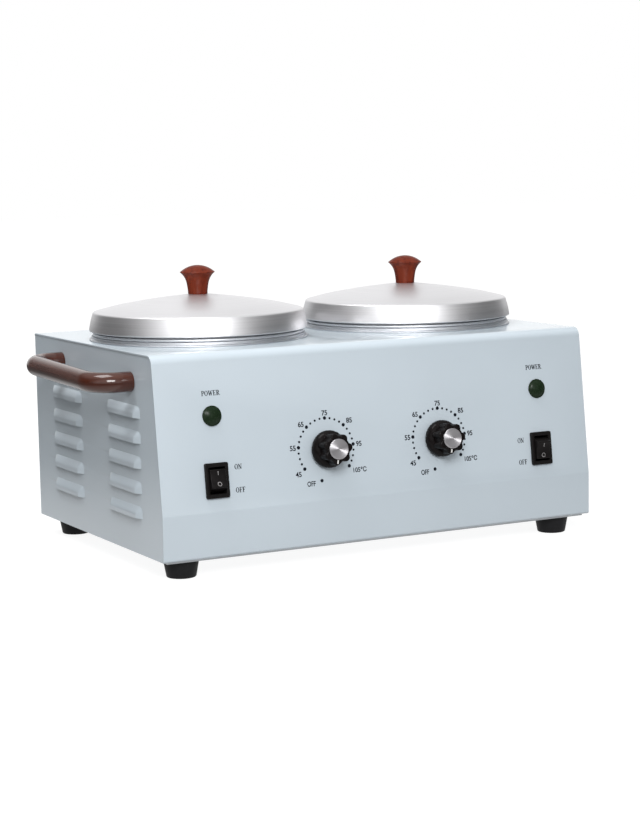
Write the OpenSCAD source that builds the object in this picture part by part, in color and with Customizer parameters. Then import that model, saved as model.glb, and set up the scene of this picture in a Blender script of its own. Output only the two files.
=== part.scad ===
// Double wax warmer: two heated wells side by side in a low sheet-metal housing,
// each with a lift-out pot, a lid, a switch, a pilot lamp and a temperature dial.
// Millimetres. X is the width, the front faces -Y, Z is up from the table.

/* [Pots and lids] */
// Inside radius of each lift-out pot
pot_r = 60.3; // [52:0.1:66]
// Inside depth of each pot, from its rim to its floor
pot_depth = 84; // [75:1:110]
// Wall of the pots
pot_wall = 1.2; // [0.8:0.1:1.6]
// How far the pot's rolled rim stands out from its wall
rim_reach = 5.8; // [5:0.1:8]
// Radius of the roll at the edge of the pot's rim
rim_roll_r = 1.2; // [0.9:0.1:1.5]
// How far the lid's edge stands out past the pot's rim
lid_overhang = 2.2; // [1.5:0.1:4]
// Height of the lid's side band
lid_band_h = 11.4; // [8:0.1:15]
// How far the side band leans in from its foot to its shoulder
lid_band_lean = 2.7; // [1:0.1:5]
// Rise of the lid's cone from its shoulder to the knob
lid_cone_h = 10.4; // [7:0.1:16]
// Thickness of the lid's sheet
lid_wall = 1.2; // [0.8:0.1:1.6]
// Depth of the rim under the lid that locates it in the pot
lid_locator_h = 5.3; // [4:0.1:8]
// Space between the two lids
lid_gap = 13.6; // [8:0.1:40]

/* [Lid knobs] */
// Height of the turned wooden knob
knob_wood_h = 18.3; // [15:0.1:26]
// Radius of the knob where it stands on the lid
knob_wood_foot_r = 6.2; // [5:0.1:8]
// Radius of the knob at its flared edge
knob_wood_edge_r = 11.1; // [9:0.1:15]
// Height of the knob's domed top above its flared edge
knob_wood_dome_h = 4.2; // [2.5:0.1:6]

/* [Heated wells] */
// Room between a pot and its well, all round
well_clear = 0.8; // [0.5:0.1:2]
// Room between the floor of a pot and the floor of its well
well_floor_clear = 1; // [0.5:0.1:3]
// Wall of the wells
well_wall = 1; // [0.8:0.1:2]
// Height of the ring that each pot's rim rests on
collar_h = 2.8; // [2.4:0.1:5]
// Height of the heater band round each well
heater_h = 44; // [30:1:50]
// Thickness of the heater band
heater_t = 1.6; // [1:0.1:3]
// Height of the felt jacket round each well
jacket_h = 62; // [50:1:68]
// Thickness of the felt jacket
jacket_t = 3; // [2:0.1:5]

/* [Housing] */
// Room under the wells for the electrical parts
under_room = 37.8; // [37:0.1:60]
// Room between the front panel's foot and the wells
front_room = 42; // [40:0.5:60]
// Room between the wells and the back
back_room = 33.8; // [31:0.1:50]
// Room between each well and the side panel, which holds the panel's flange
side_room = 9.8; // [8:0.1:25]
// How far the front panel leans back at its top
front_setback = 11.2; // [0.5:0.1:20]
// Height of the upright foot of the front panel
front_foot_h = 27.2; // [24:0.1:34]
// Outside radius of the bend between the front and the top
bend_r = 6; // [4.5:0.1:9]
// Thickness of the housing's sheet metal
sheet_t = 1.2; // [0.8:0.1:1.5]
// Width of the flanges folded along the panels' edges
flange_w = 9; // [8:0.1:12]
// How far the top sheet's edge stands past the side panels
cover_overhang = 0.4; // [0.2:0.1:1]

/* [Side louvers] */
// Length of a louver
louver_l = 50; // [30:1:56]
// Height of a louver
louver_h = 7.2; // [6:0.1:9]
// How far a louver stands out
louver_out = 2.4; // [1.8:0.1:3.5]
// Space from one louver to the next below it
louver_pitch = 15.1; // [11:0.1:16]
// Space between the two columns of louvers
louver_col_gap = 42; // [20:1:50]
// Height of the lowest louver's lip
louver_low_z = 22; // [14:1:26]
// Rows of louvers
louver_rows = 5; // [2:1:5]
// Radius of a louver's rounded ends
louver_end_r = 5.2; // [3:0.1:5.8]

/* [Side handles] */
// Radius of the wooden handle rod
handle_rod_r = 6.2; // [5:0.1:7.5]
// How far the rod's centre line stands out from the side
handle_reach = 22; // [20:0.1:35]
// Space between the two feet of a handle
handle_span = 112; // [80:1:130]
// Radius of the bends, on the centre line
handle_bend_r = 15; // [10:0.5:18]
// How far the handle lies below the top
handle_drop = 16.3; // [14:0.1:20]
// How far the handle's middle lies in front of the side's middle
handle_forward = 2.8; // [0:0.1:6]
// Angle by which a handle's back foot is raised
handle_tilt = 1.4; // [0:0.1:2]

/* [Feet] */
// Height of a rubber foot
foot_h = 10.9; // [8:0.1:20]
// Radius of a foot at its top
foot_top_r = 10.9; // [9:0.1:14]
// Radius of a foot where it stands
foot_low_r = 8.9; // [7.5:0.1:9]
// Centre of a foot from the side
foot_in_x = 18.4; // [16:0.1:30]
// Centre of a foot from the front or the back
foot_in_y = 16.5; // [16:0.1:24]

/* [Controls] */
// Pilot lamps and switches, distance of their centres from the side
switch_edge = 36.2; // [30:0.1:44]
// Height of the switches on the slope above the bend
switch_v = 18.8; // [14:0.1:22]
// Height of the pilot lamps on the slope above the bend
lamp_v = 57; // [46:0.1:64]
// Radius of the pilot lamps
lamp_r = 6.1; // [5:0.1:8]
// Space between the two dials
dial_spacing = 80; // [60:0.5:100]
// Height of the dials on the slope above the bend
dial_v = 31.1; // [28:0.1:45]
// Width of a switch's frame
switch_w = 15; // [14.4:0.1:17]
// Length of a switch's frame
switch_l = 21; // [20:0.1:24]
// How far a switch's frame stands out
switch_frame_t = 2; // [1.5:0.1:3]
// Angle that a rocker tips to each side
rocker_tilt = 12; // [8:0.5:14]

/* [Temperature knobs] */
// Radius of a knob's skirt
knob_skirt_r = 11.4; // [11:0.1:16]
// Top of a knob above the panel
knob_top_h = 15.7; // [14.5:0.1:20]
// Space between the panel and a knob
knob_gap = 2; // [1:0.1:3]
// Radius over a knob's lobes
knob_lobe_r = 9.8; // [9:0.1:10.6]
// Number of lobes on a knob
knob_lobes = 7; // [5:1:9]
// Radius of the aluminium cap on a knob
knob_cap_r = 6.2; // [5:0.1:6.8]
// Height of the cap above the knob
knob_cap_h = 0.8; // [0.5:0.1:1.5]
// Radius of the control's shaft
shaft_r = 3; // [2.5:0.1:3.2]
// Angle of the pointer at rest, clockwise from the top as seen from the front
pointer_rest = -171; // [-175:1:-160]

/* [Hidden] */
$fn = 96;

// Overlap that lets a cutting shape pass the face it cuts
eps = 0.01;
// Gap between parts that fit together and don't move
seat = 0.1;
// Gap between parts that are lifted out or turned by hand
lift_clear = 0.3;
// Gap behind the sloping front panel, under parts that are clamped to it
clamp_gap = 0.02;

// Pots, wells and lids share one axis, and the housing is sized by them
pot_or = pot_r + pot_wall;
well_r = pot_or + well_clear;
well_or = well_r + well_wall;
rim_r = pot_or + rim_reach;
lid_r = rim_r + lid_overhang;
pot_x = lid_r + lid_gap / 2;
pot_y = front_room + well_or;
half_w = pot_x + well_or + side_room + sheet_t + cover_overhang;
body_d = front_room + 2 * well_or + back_room;

// Heights above the lower edge of the housing
well_low_z = under_room;
pot_low_z = well_low_z + well_wall + well_floor_clear;
pot_floor_z = pot_low_z + pot_wall;
pot_top_z = pot_floor_z + pot_depth;
rim_z = pot_top_z - pot_wall;
body_h = rim_z - collar_h;
roll_z = rim_z + lift_clear + rim_roll_r;
lid_z = roll_z + rim_roll_r + lift_clear;
shoulder_r = lid_r - lid_band_lean;
shoulder_z = lid_z + lid_band_h;
cone_top_r = knob_wood_foot_r + 1;
cone_top_z = shoulder_z + lid_cone_h;
locator_gap = 0.5;
locator_r = pot_r - locator_gap;

// Housing
slope = atan2(front_setback, body_h - front_foot_h);
side_face_x = half_w - cover_overhang;
side_inner_x = side_face_x - sheet_t;
base_t = sheet_t;
base_in = 3;
well_hole_r = well_or + 0.5;
flange_low_z = 2 * sheet_t;
rear_flange_h = 12;
bend_y = (body_h - bend_r - front_foot_h) * tan(slope) + bend_r / cos(slope);
bend_z = body_h - bend_r;
bend_steps = 14;
screw_in_y = flange_w - 4;
handle_z = body_h - handle_drop;
handle_y = body_d / 2 - handle_forward;
louver_col_y = (louver_l + louver_col_gap) / 2;

// Fasteners: shank radius, head radius and head height
small_screw = [1.4, 2.8, 1.8];
small_hole_r = 1.5;
large_screw = [2, 3.9, 2.6];
large_hole_r = 2.2;
flush_head_r = 2.6;
flush_head_h = 1.1;

// Front controls
switch_x = half_w - switch_edge;
dial_x = dial_spacing / 2;
panel_clear = 0.1;
pivot_h = -1.8;
rocker_top = 6.2;
rocker_dip = 0.8;
rocker_pin_r = 1;
pin_clear = 0.08;
frame_rim = 2.5;
frame_side = 2.1;
switch_open_l = switch_l / 2 - frame_rim;
switch_open_w = switch_w / 2 - frame_side;
switch_body_w = switch_w / 2 - 1;
switch_body_l = switch_l / 2 - 1;
switch_depth = 12.5;
rocker_w = switch_open_w - lift_clear;
bushing_r = 4.5;
bushing_h = 5;
nut_h = 2.3;
nut_r = 6.4;
control_r = 12;
control_h = 11;
shaft_clear = 0.05;
shaft_low = -9;
shaft_top = knob_top_h - 2.5;
knob_hollow_r = 7.2;
knob_hollow_h = bushing_h + 1;

// Back and base
inlet_z = 30;
block_w = 60;
block_l = 20;
block_h = 14;
block_in_y = 46;
block_y = body_d - block_in_y;
block_screw_x = block_w / 2 - 4;

// The origin is under the middle of the whole object, knobs and screw heads included
knob_reach = (knob_top_h + knob_cap_h) * cos(slope)
    - (dial_v - knob_cap_r + 0.3) * sin(slope);
rear_reach = small_screw[2];
mid_y = (body_d + rear_reach - knob_reach) / 2;
floor_z = foot_h + base_t;

// Places the housing's own frame: lower front edge at y = 0, z = 0
module in_housing() {
    translate([0, -mid_y, floor_z]) children();
}

// Places a shape on the front panel, with its z axis square out of the panel
module on_front(x, v) {
    translate([x, v * sin(slope), front_foot_h + v * cos(slope)])
        rotate([90 - slope, 0, 0]) children();
}

// Places a shape on the axis of the pot on one side
module at_pot(side) {
    translate([side * pot_x, pot_y, 0]) children();
}

// Extrudes a side view, drawn as y across and z up, along the width
module across(width) {
    rotate([90, 0, 90]) linear_extrude(width, center = true) children();
}

// Repeats a shape on both sides
module both_sides() {
    for (side = [-1, 1]) scale([1, 1, 1]) mirror([side < 0 ? 1 : 0, 0, 0]) children();
}

// Rectangle with round corners
module round_rect(w, l, r) {
    square([w - 2 * r, l], center = true);
    square([w, l - 2 * r], center = true);
    for (x = [-1, 1], y = [-1, 1])
        translate([x * (w / 2 - r), y * (l / 2 - r)]) circle(r);
}

// Slot with round ends, its length along x
module slot_2d(l, w) {
    square([l - w, w], center = true);
    for (x = [-1, 1]) translate([x * (l - w) / 2, 0]) circle(w / 2);
}

// Pan-head screw, its head below z = 0 and its shank above
module pan_screw(size, l) {
    cylinder(r = size[0], h = l);
    translate([0, 0, -size[2]]) cylinder(r1 = size[1] * 0.78, r2 = size[1], h = size[2] * 0.5);
    translate([0, 0, -size[2] / 2]) cylinder(r = size[1], h = size[2] / 2);
}

// Cross recess that is cut in a screw's head
module cross_recess(size) {
    for (a = [0, 90]) rotate([0, 0, a])
        translate([-size[1] / 2, -0.4, -size[2] - eps]) cube([size[1], 0.8, size[2] * 0.55]);
}

// Countersunk screw, its head flush with z = 0 and its shank above
module flush_screw(l) {
    difference() {
        union() {
            cylinder(r = small_screw[0], h = l);
            cylinder(r1 = flush_head_r, r2 = small_screw[0], h = flush_head_h);
        }
        for (a = [0, 90]) rotate([0, 0, a]) translate([-1.6, -0.4, -1]) cube([3.2, 0.8, 1.7]);
    }
}

// Hole for a countersunk screw, from below
module flush_hole(l) {
    translate([0, 0, -1]) cylinder(r = small_hole_r, h = l + 1);
    translate([0, 0, -eps]) cylinder(r1 = flush_head_r + 0.1, r2 = small_screw[0] + 0.1, h = flush_head_h);
}

// Screw with its recess
module screw(size, l) {
    difference() {
        pan_screw(size, l);
        cross_recess(size);
    }
}

// Side view of the housing, drawn in from its front and top, back and bottom
module side_outline(front_in, back_in, bottom_in) {
    polygon(concat(
        [[front_in, bottom_in], [front_in, front_foot_h - front_in * tan(slope / 2)]],
        [for (i = [0 : bend_steps]) let (a = 180 - slope - (90 - slope) * i / bend_steps)
            [bend_y + (bend_r - front_in) * cos(a), bend_z + (bend_r - front_in) * sin(a)]],
        [[body_d - back_in, body_h - front_in], [body_d - back_in, bottom_in]]
    ));
}

// Strip that follows the front and the top, between two depths
module front_top_strip(from_in, to_in, back_in, bottom_in) {
    difference() {
        side_outline(from_in, back_in, bottom_in);
        side_outline(to_in, -1, -1);
    }
}

// Front and top in one bent sheet, with a folded lip along the bottom and the back
module cover() {
    color("#c3ced6") in_housing() difference() {
        union() {
            across(2 * half_w) front_top_strip(0, sheet_t, 0, 0);
            translate([-side_inner_x + seat, sheet_t - eps, 0])
                cube([2 * (side_inner_x - seat), flange_w + 1 - sheet_t, sheet_t]);
            translate([-side_inner_x + seat, body_d - sheet_t, body_h - rear_flange_h])
                cube([2 * (side_inner_x - seat), sheet_t, rear_flange_h - sheet_t + eps]);
        }
        both_sides() {
            translate([pot_x, pot_y, body_h - 3]) cylinder(r = well_hole_r, h = 6);
            on_front(switch_x, lamp_v) translate([0, 0, -3]) cylinder(r = lamp_r - 1 + panel_clear, h = 6);
            on_front(switch_x, switch_v) translate([0, 0, -3]) linear_extrude(6)
                square(2 * [switch_body_w + panel_clear, switch_body_l + panel_clear], center = true);
            on_front(dial_x, dial_v) translate([0, 0, -3]) cylinder(r = bushing_r + panel_clear, h = 6);
        }
        for (x = rear_screw_xs()) translate([x, body_d - 3, rear_screw_z()])
            rotate([-90, 0, 0]) cylinder(r = small_hole_r, h = 6);
        for (x = front_screw_xs()) translate([x, screw_in_y + 1, -3]) cylinder(r = small_hole_r, h = 6);
    }
}

// Screw places along the back, the base's front edge and its sides
rear_screw_in = 26;
front_screw_in = 30;
back_screw_in = 60;
base_screw_in = 12;
side_screw_low = 16;
side_screw_drop = 26;
function rear_screw_xs() = [-side_inner_x + rear_screw_in, 0, side_inner_x - rear_screw_in];
function rear_screw_z() = body_h - rear_flange_h / 2 - sheet_t / 2;
function side_screw_zs() = [side_screw_low, body_h - side_screw_drop];
function side_screw_x() = side_inner_x - screw_in_y;
function front_screw_xs() = [-switch_x + front_screw_in, 0, switch_x - front_screw_in];
function base_side_ys() = let (y = foot_in_y + foot_top_r + base_screw_in) [y, body_d / 2, body_d - y];
function back_low_xs() = [-side_inner_x + back_screw_in, side_inner_x - back_screw_in];

// Side view of a louver, its upper corners rounded; low is how far it reaches below its lip
function louver_outline(l, h, r, low) = concat(
    [[-l / 2, -low], [l / 2, -low]],
    [for (i = [0 : 7]) let (a = 90 * i / 7) [l / 2 - r + r * cos(a), h - r + r * sin(a)]],
    [for (i = [0 : 7]) let (a = 90 + 90 * i / 7) [-l / 2 + r + r * cos(a), h - r + r * sin(a)]]
);

// Both columns of louver hoods, or the space inside them, in front of the plane x = 0
module louver_hoods(inside) {
    skin = inside ? sheet_t * 0.75 : 0;
    far = inside ? sheet_t + 1 : eps;
    low = inside ? 1 : 0;
    for (col = [-1, 1], row = [0 : louver_rows - 1])
        translate([0, body_d / 2 + col * louver_col_y, louver_low_z + row * louver_pitch])
            intersection() {
                rotate([90, 0, 0]) linear_extrude(louver_l + 2, center = true)
                    if (inside) polygon([
                        [-far, 0], [0, 0], [0, -low],
                        [louver_out - skin, -low], [louver_out - skin, louver_h * 0.3],
                        [louver_out * 0.62 - skin / 2, louver_h * 0.64 - skin / 2], [0, louver_h - skin * 1.4],
                        [-far, louver_h - skin * 1.4]
                    ]);
                    else polygon([
                        [-far, 0], [louver_out, 0], [louver_out, louver_h * 0.36],
                        [louver_out * 0.68, louver_h * 0.7], [0, louver_h], [-far, louver_h]
                    ]);
                rotate([90, 0, 90]) translate([0, 0, -far - 1]) linear_extrude(far + louver_out + 2)
                    polygon(louver_outline(
                        louver_l - 2 * skin, louver_h - skin * (inside ? 1.4 : 0), louver_end_r - skin, low
                    ));
            }
}

// Side panel with its folded flanges and pressed louvers
module side_panel(side) {
    color("#a9b5bf") in_housing() mirror([side < 0 ? 1 : 0, 0, 0]) difference() {
        union() {
            translate([side_face_x - sheet_t / 2, 0, 0]) across(sheet_t) side_outline(sheet_t, 0, 0);
            translate([side_inner_x - flange_w / 2, 0, 0]) across(flange_w + eps)
                front_top_strip(sheet_t, 2 * sheet_t, 3 * sheet_t, flange_low_z);
            translate([side_inner_x - flange_w, body_d - 3 * sheet_t, flange_low_z])
                cube([flange_w + eps, sheet_t, body_h - rear_flange_h - 2 * flange_low_z]);
            translate([side_inner_x - flange_w, flange_w + 2, 0])
                cube([flange_w + eps, body_d - 2 * flange_w - 5, sheet_t]);
            translate([side_face_x, 0, 0]) louver_hoods(false);
        }
        translate([side_face_x, 0, 0]) louver_hoods(true);
        for (end = [-1, 1])
            at_handle_foot(end) translate([0, 0, -sheet_t - 3]) cylinder(r = large_hole_r, h = 6);
        for (z = side_screw_zs()) translate([side_screw_x(), body_d - 3 * sheet_t - 1, z])
            rotate([-90, 0, 0]) cylinder(r = small_hole_r, h = 4);
        for (y = base_side_ys()) translate([side_screw_x(), y, -1]) cylinder(r = small_hole_r, h = 4);
    }
}

// Places a shape at a foot of the right handle, with its z axis out of the side
module at_handle_foot(end) {
    translate([side_face_x, handle_y, handle_z]) rotate([handle_tilt, 0, 0])
        translate([0, end * handle_span / 2, 0]) rotate([0, 90, 0]) children();
}

// Back panel inside the cover's rear lip, with vents and the hole for the inlet
module back_panel() {
    color("#b4c0c9") in_housing() difference() {
        union() {
            translate([-side_inner_x + seat, body_d - 2 * sheet_t, 0])
                cube([2 * (side_inner_x - seat), sheet_t, body_h - sheet_t]);
            translate([-side_inner_x + flange_w + seat, body_d - flange_w - sheet_t, 0])
                cube([2 * (side_inner_x - flange_w - seat), flange_w - sheet_t + eps, sheet_t]);
        }
        translate([0, body_d - 3 * sheet_t, inlet_z]) rotate([-90, 0, 0]) linear_extrude(4 * sheet_t)
            round_rect(2 * (inlet_body_w + panel_clear), 2 * (inlet_body_h + panel_clear), inlet_corner_r);
        for (x = [-1, 1]) translate([x * inlet_screw_x, body_d - 3 * sheet_t, inlet_z])
            rotate([-90, 0, 0]) cylinder(r = small_hole_r, h = 4 * sheet_t);
        for (x = rear_screw_xs()) translate([x, body_d - 3 * sheet_t, rear_screw_z()])
            rotate([-90, 0, 0]) cylinder(r = small_hole_r, h = 4 * sheet_t);
        for (x = [-1, 1], z = side_screw_zs()) translate([x * side_screw_x(), body_d - 3 * sheet_t, z])
            rotate([-90, 0, 0]) cylinder(r = small_hole_r, h = 4 * sheet_t);
        for (x = back_low_xs()) translate([x, body_d - screw_in_y - 1.5, -1])
            cylinder(r = small_hole_r, h = 4);
        for (bank = [-1, 1], i = [-3 : 3])
            translate([bank * pot_x + i * back_vent_pitch, body_d - 3 * sheet_t, body_h * 0.55])
                rotate([-90, 90, 0]) linear_extrude(4 * sheet_t) slot_2d(back_vent_l, vent_w);
    }
}
vent_w = 3.4;
back_vent_l = 34;
back_vent_pitch = 9;
base_vent_l = 54;
base_vent_pitch = 8;
base_vent_out = 40;

// Base plate that closes the housing from below
module base_plate() {
    color("#8d969d") in_housing() translate([0, 0, -base_t]) difference() {
        translate([-side_face_x + base_in, base_in, 0])
            cube([2 * (side_face_x - base_in), body_d - 2 * base_in, base_t]);
        for (x = [-1, 1], y = [foot_in_y, body_d - foot_in_y])
            translate([x * (half_w - foot_in_x), y, -1]) cylinder(r = large_hole_r, h = base_t + 2);
        for (x = [-1, 1]) translate([x * pot_x, pot_y, -1]) cylinder(r = small_hole_r, h = base_t + 2);
        for (x = [-1, 1], y = base_side_ys()) translate([x * side_screw_x(), y, 0]) flush_hole(base_t + 1);
        for (x = front_screw_xs()) translate([x, screw_in_y + 1, 0]) flush_hole(base_t + 1);
        for (x = back_low_xs()) translate([x, body_d - screw_in_y - 1.5, 0]) flush_hole(base_t + 1);
        for (x = [-1, 1])
            translate([x * block_screw_x, block_y, -1]) cylinder(r = small_hole_r, h = base_t + 2);
        for (bank = [-1, 1], y = base_vent_ys())
            translate([bank * pot_x, y, -1]) linear_extrude(base_t + 2) slot_2d(base_vent_l, vent_w);
    }
}

// Vents in the base, in front of each post and behind it
function base_vent_ys() = concat(
    [for (i = [0 : 3]) pot_y - base_vent_out + i * base_vent_pitch],
    [for (i = [0 : 4]) pot_y + base_vent_out - i * base_vent_pitch]
);

// Tapered rubber foot, its screw hole sunk from below
module foot(x_side, back) {
    color("#17181a") in_housing()
        translate([x_side * (half_w - foot_in_x), back ? body_d - foot_in_y : foot_in_y, -floor_z])
            rotate_extrude() polygon([
                [foot_hole_r, 0], [foot_low_r - 1, 0], [foot_low_r - 0.3, 0.3], [foot_low_r, 1],
                [foot_top_r, foot_h - 0.6], [foot_top_r - 0.6, foot_h],
                [large_hole_r, foot_h], [large_hole_r, foot_sink], [foot_hole_r, foot_sink]
            ]);
}
foot_hole_r = large_screw[1] + 0.6;
foot_sink = foot_h * 0.62;

// Screw and nut that hold each foot
module foot_fasteners() {
    color("#b9bdc1") in_housing()
        for (x = [-1, 1], y = [foot_in_y, body_d - foot_in_y])
            translate([x * (half_w - foot_in_x), y, 0]) {
                translate([0, 0, foot_sink - floor_z]) screw(large_screw, floor_z - foot_sink + 4.5);
                hex_nut(3.8, large_screw[0] + 0.05, 3);
            }
}

// Hexagonal nut standing on z = 0
module hex_nut(r, hole_r, h) {
    difference() {
        cylinder(r = r, h = h, $fn = 6);
        translate([0, 0, -1]) cylinder(r = hole_r, h = h + 2);
    }
}

// Screws of the base plate and the back panel
module panel_screws() {
    color("#c7cbd0") in_housing() {
        for (x = [-1, 1], y = base_side_ys()) translate([x * side_screw_x(), y, -base_t]) flush_screw(6);
        for (x = front_screw_xs()) translate([x, screw_in_y + 1, -base_t]) flush_screw(6);
        for (x = back_low_xs()) translate([x, body_d - screw_in_y - 1.5, -base_t]) flush_screw(6);
        for (x = rear_screw_xs())
            translate([x, body_d, rear_screw_z()]) rotate([90, 0, 0]) screw(small_screw, 6);
        for (x = [-1, 1], z = side_screw_zs()) translate([x * side_screw_x(), body_d - sheet_t, z])
            rotate([90, 0, 0]) screw(small_screw, 6);
    }
}

// Bent wooden rod with two feet on the side panel
module handle(side) {
    straight = handle_span / 2 - handle_bend_r;
    color("#7a2f1f") in_housing() mirror([side < 0 ? 1 : 0, 0, 0])
        translate([side_face_x, handle_y, handle_z]) rotate([handle_tilt, 0, 0]) difference() {
            union() {
                for (end = [0, 1]) mirror([0, end, 0]) {
                    translate([0, handle_span / 2, 0]) rotate([0, 90, 0])
                        cylinder(r = handle_rod_r, h = handle_reach - handle_bend_r);
                    translate([handle_reach - handle_bend_r, straight, 0])
                        rotate_extrude(angle = 90) translate([handle_bend_r, 0]) circle(handle_rod_r);
                }
                translate([handle_reach, -straight, 0]) rotate([-90, 0, 0])
                    cylinder(r = handle_rod_r, h = 2 * straight);
            }
            for (end = [-1, 1]) translate([-1, end * handle_span / 2, 0]) rotate([0, 90, 0])
                cylinder(r = large_screw[0] + 0.05, h = 13);
        }
}

// Screws that hold the handles from inside the housing
module handle_screws() {
    color("#b9bdc1") in_housing() both_sides()
        for (end = [-1, 1]) at_handle_foot(end) translate([0, 0, -sheet_t]) screw(large_screw, sheet_t + 11);
}

// Spun ring on the top sheet that each pot's rim rests on
module collar(side) {
    top_r = rim_r + 0.7;
    color("#c9cbce") in_housing() at_pot(side) translate([0, 0, body_h]) rotate_extrude() polygon([
        [well_or + 0.3, well_wall + seat], [well_or + 3, well_wall + seat], [well_or + 3, 0],
        [lid_r - 0.2, 0], [lid_r - 0.2, 0.8], [top_r, 1.3], [top_r, collar_h - 0.4],
        [top_r - 0.4, collar_h], [well_or + 0.3, collar_h]
    ]);
}

// Deep-drawn cup that hangs from the top sheet by its flange
module well(side) {
    color("#b2b5b8") in_housing() at_pot(side) rotate_extrude() polygon([
        [0, well_low_z], [well_or - 3, well_low_z], [well_or, well_low_z + 3], [well_or, body_h],
        [well_or + 2.7, body_h], [well_or + 2.7, body_h + well_wall], [well_r, body_h + well_wall],
        [well_r, well_low_z + 3.4], [well_r - 2.4, well_low_z + well_wall], [0, well_low_z + well_wall]
    ]);
}

heater_low_z = well_low_z + 6;
heater_r = well_or + seat;
band_gap = 6;
ear_h = 14;
ear_reach = jacket_t + 3;

// Heating band round the well, open at the front between its two clamp ears
module heater_band(side) {
    color("#9a8f7a") in_housing() at_pot(side) translate([0, 0, heater_low_z]) difference() {
        union() {
            difference() {
                cylinder(r = heater_r + heater_t, h = heater_h);
                translate([0, 0, -1]) cylinder(r = heater_r, h = heater_h + 2);
            }
            for (x = [-band_gap / 2 - heater_t, band_gap / 2])
                translate([x, -heater_r - heater_t - ear_reach, (heater_h - ear_h) / 2])
                    cube([heater_t, ear_reach + heater_t, ear_h]);
        }
        translate([-band_gap / 2, -heater_r - heater_t - ear_reach - 1, -1])
            cube([band_gap, ear_reach + 2 * heater_t + 2, heater_h + 2]);
        translate([-band_gap, -heater_r - heater_t - ear_reach + 2.6, heater_h / 2])
            rotate([0, 90, 0]) cylinder(r = small_hole_r, h = 2 * band_gap);
    }
}

// Screw and nut through the ears of each band
module heater_clamp_screws() {
    color("#b9bdc1") in_housing() for (side = [-1, 1]) at_pot(side)
        translate([0, -heater_r - heater_t - ear_reach + 2.6, heater_low_z + heater_h / 2]) {
            translate([-band_gap / 2 - heater_t, 0, 0]) rotate([0, 90, 0])
                screw(small_screw, band_gap + 2 * heater_t + 3.4);
            translate([band_gap / 2 + heater_t, 0, 0]) rotate([0, 90, 0])
                hex_nut(2.8, small_screw[0] + 0.05, 2.2);
        }
}

// Felt jacket round the heater band, slit for the ears
module insulation(side) {
    inner = heater_r + heater_t + seat;
    slit = band_gap / 2 + heater_t + 4.5;
    color("#d8d2c0") in_housing() at_pot(side) translate([0, 0, heater_low_z - 4]) difference() {
        cylinder(r = inner + jacket_t, h = jacket_h);
        translate([0, 0, -1]) cylinder(r = inner, h = jacket_h + 2);
        translate([-slit, -inner - jacket_t - 1, -1]) cube([2 * slit, jacket_t + 4, jacket_h + 2]);
    }
}

// Snap-disc cut-out pressed against the floor of the well
module thermal_cutout(side) {
    color("#e4ddc8") in_housing() at_pot(side) translate([0, cutout_in, well_low_z]) {
        translate([0, 0, -cutout_h]) cylinder(r = cutout_r, h = cutout_h);
        translate([0, 0, -cutout_ear_t]) linear_extrude(cutout_ear_t) slot_2d(cutout_ear_l, cutout_ear_w);
        for (x = [-1, 1]) translate([x * cutout_r / 2 - tab_t / 2, -tab_w / 2, -cutout_h - tab_l + 0.5])
            cube([tab_t, tab_w, tab_l]);
    }
}
cutout_in = well_r * 0.45;
cutout_r = 8;
cutout_h = 6;
cutout_ear_l = 26;
cutout_ear_w = 7;
cutout_ear_t = 1;
tab_w = 6;
tab_t = 0.8;
tab_l = 7.5;

// Sensor bulb under each well, held by a saddle
module temperature_sensors() {
    r = bulb_drop - 0.4;
    color("#c98f5a") in_housing() for (side = [-1, 1]) at_pot(side)
        translate([0, -cutout_in, well_low_z - bulb_drop]) {
            translate([-bulb_l / 2, 0, 0]) rotate([0, 90, 0]) cylinder(r = r, h = bulb_l);
            difference() {
                translate([-saddle_w / 2, -r - saddle_t, -r - saddle_t])
                    cube([saddle_w, 2 * (r + saddle_t), r + bulb_drop - 0.2]);
                translate([-saddle_w / 2 - 1, 0, 0]) rotate([0, 90, 0]) cylinder(r = r - eps, h = saddle_w + 2);
            }
            translate([-saddle_w / 2, -saddle_l / 2, bulb_drop - 1]) cube([saddle_w, saddle_l, 1]);
        }
}
bulb_drop = 3;
bulb_l = 28;
saddle_w = 10;
saddle_l = 18;
saddle_t = 0.8;

// Post that ties the floor of the well to the base plate
module well_post(side) {
    color("#a8adb2") in_housing() at_pot(side) difference() {
        cylinder(r = post_r, h = well_low_z);
        translate([0, 0, -1]) cylinder(r = small_screw[0] + 0.05, h = post_thread + 1);
    }
}
post_r = 4;
post_thread = 10;

// Screws that hold the posts from below
module well_post_screws() {
    color("#c7cbd0") in_housing() for (side = [-1, 1]) at_pot(side)
        translate([0, 0, -base_t]) screw(small_screw, base_t + post_thread - 2);
}

// Lift-out pot with a rolled rim
module pot(side) {
    color("#cfd1d3") in_housing() at_pot(side) {
        rotate_extrude() polygon([
            [0, pot_low_z], [pot_or - 5, pot_low_z], [pot_or - 1.5, pot_low_z + 1.5], [pot_or, pot_low_z + 5],
            [pot_or, rim_z], [rim_r - rim_roll_r, rim_z], [rim_r - rim_roll_r, pot_top_z], [pot_r, pot_top_z],
            [pot_r, pot_low_z + 5.4], [pot_r - 1.2, pot_low_z + 2.4],
            [pot_r - 4.4, pot_floor_z], [0, pot_floor_z]
        ]);
        translate([0, 0, roll_z]) rotate_extrude() translate([rim_r - rim_roll_r, 0]) circle(rim_roll_r);
    }
}

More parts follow.
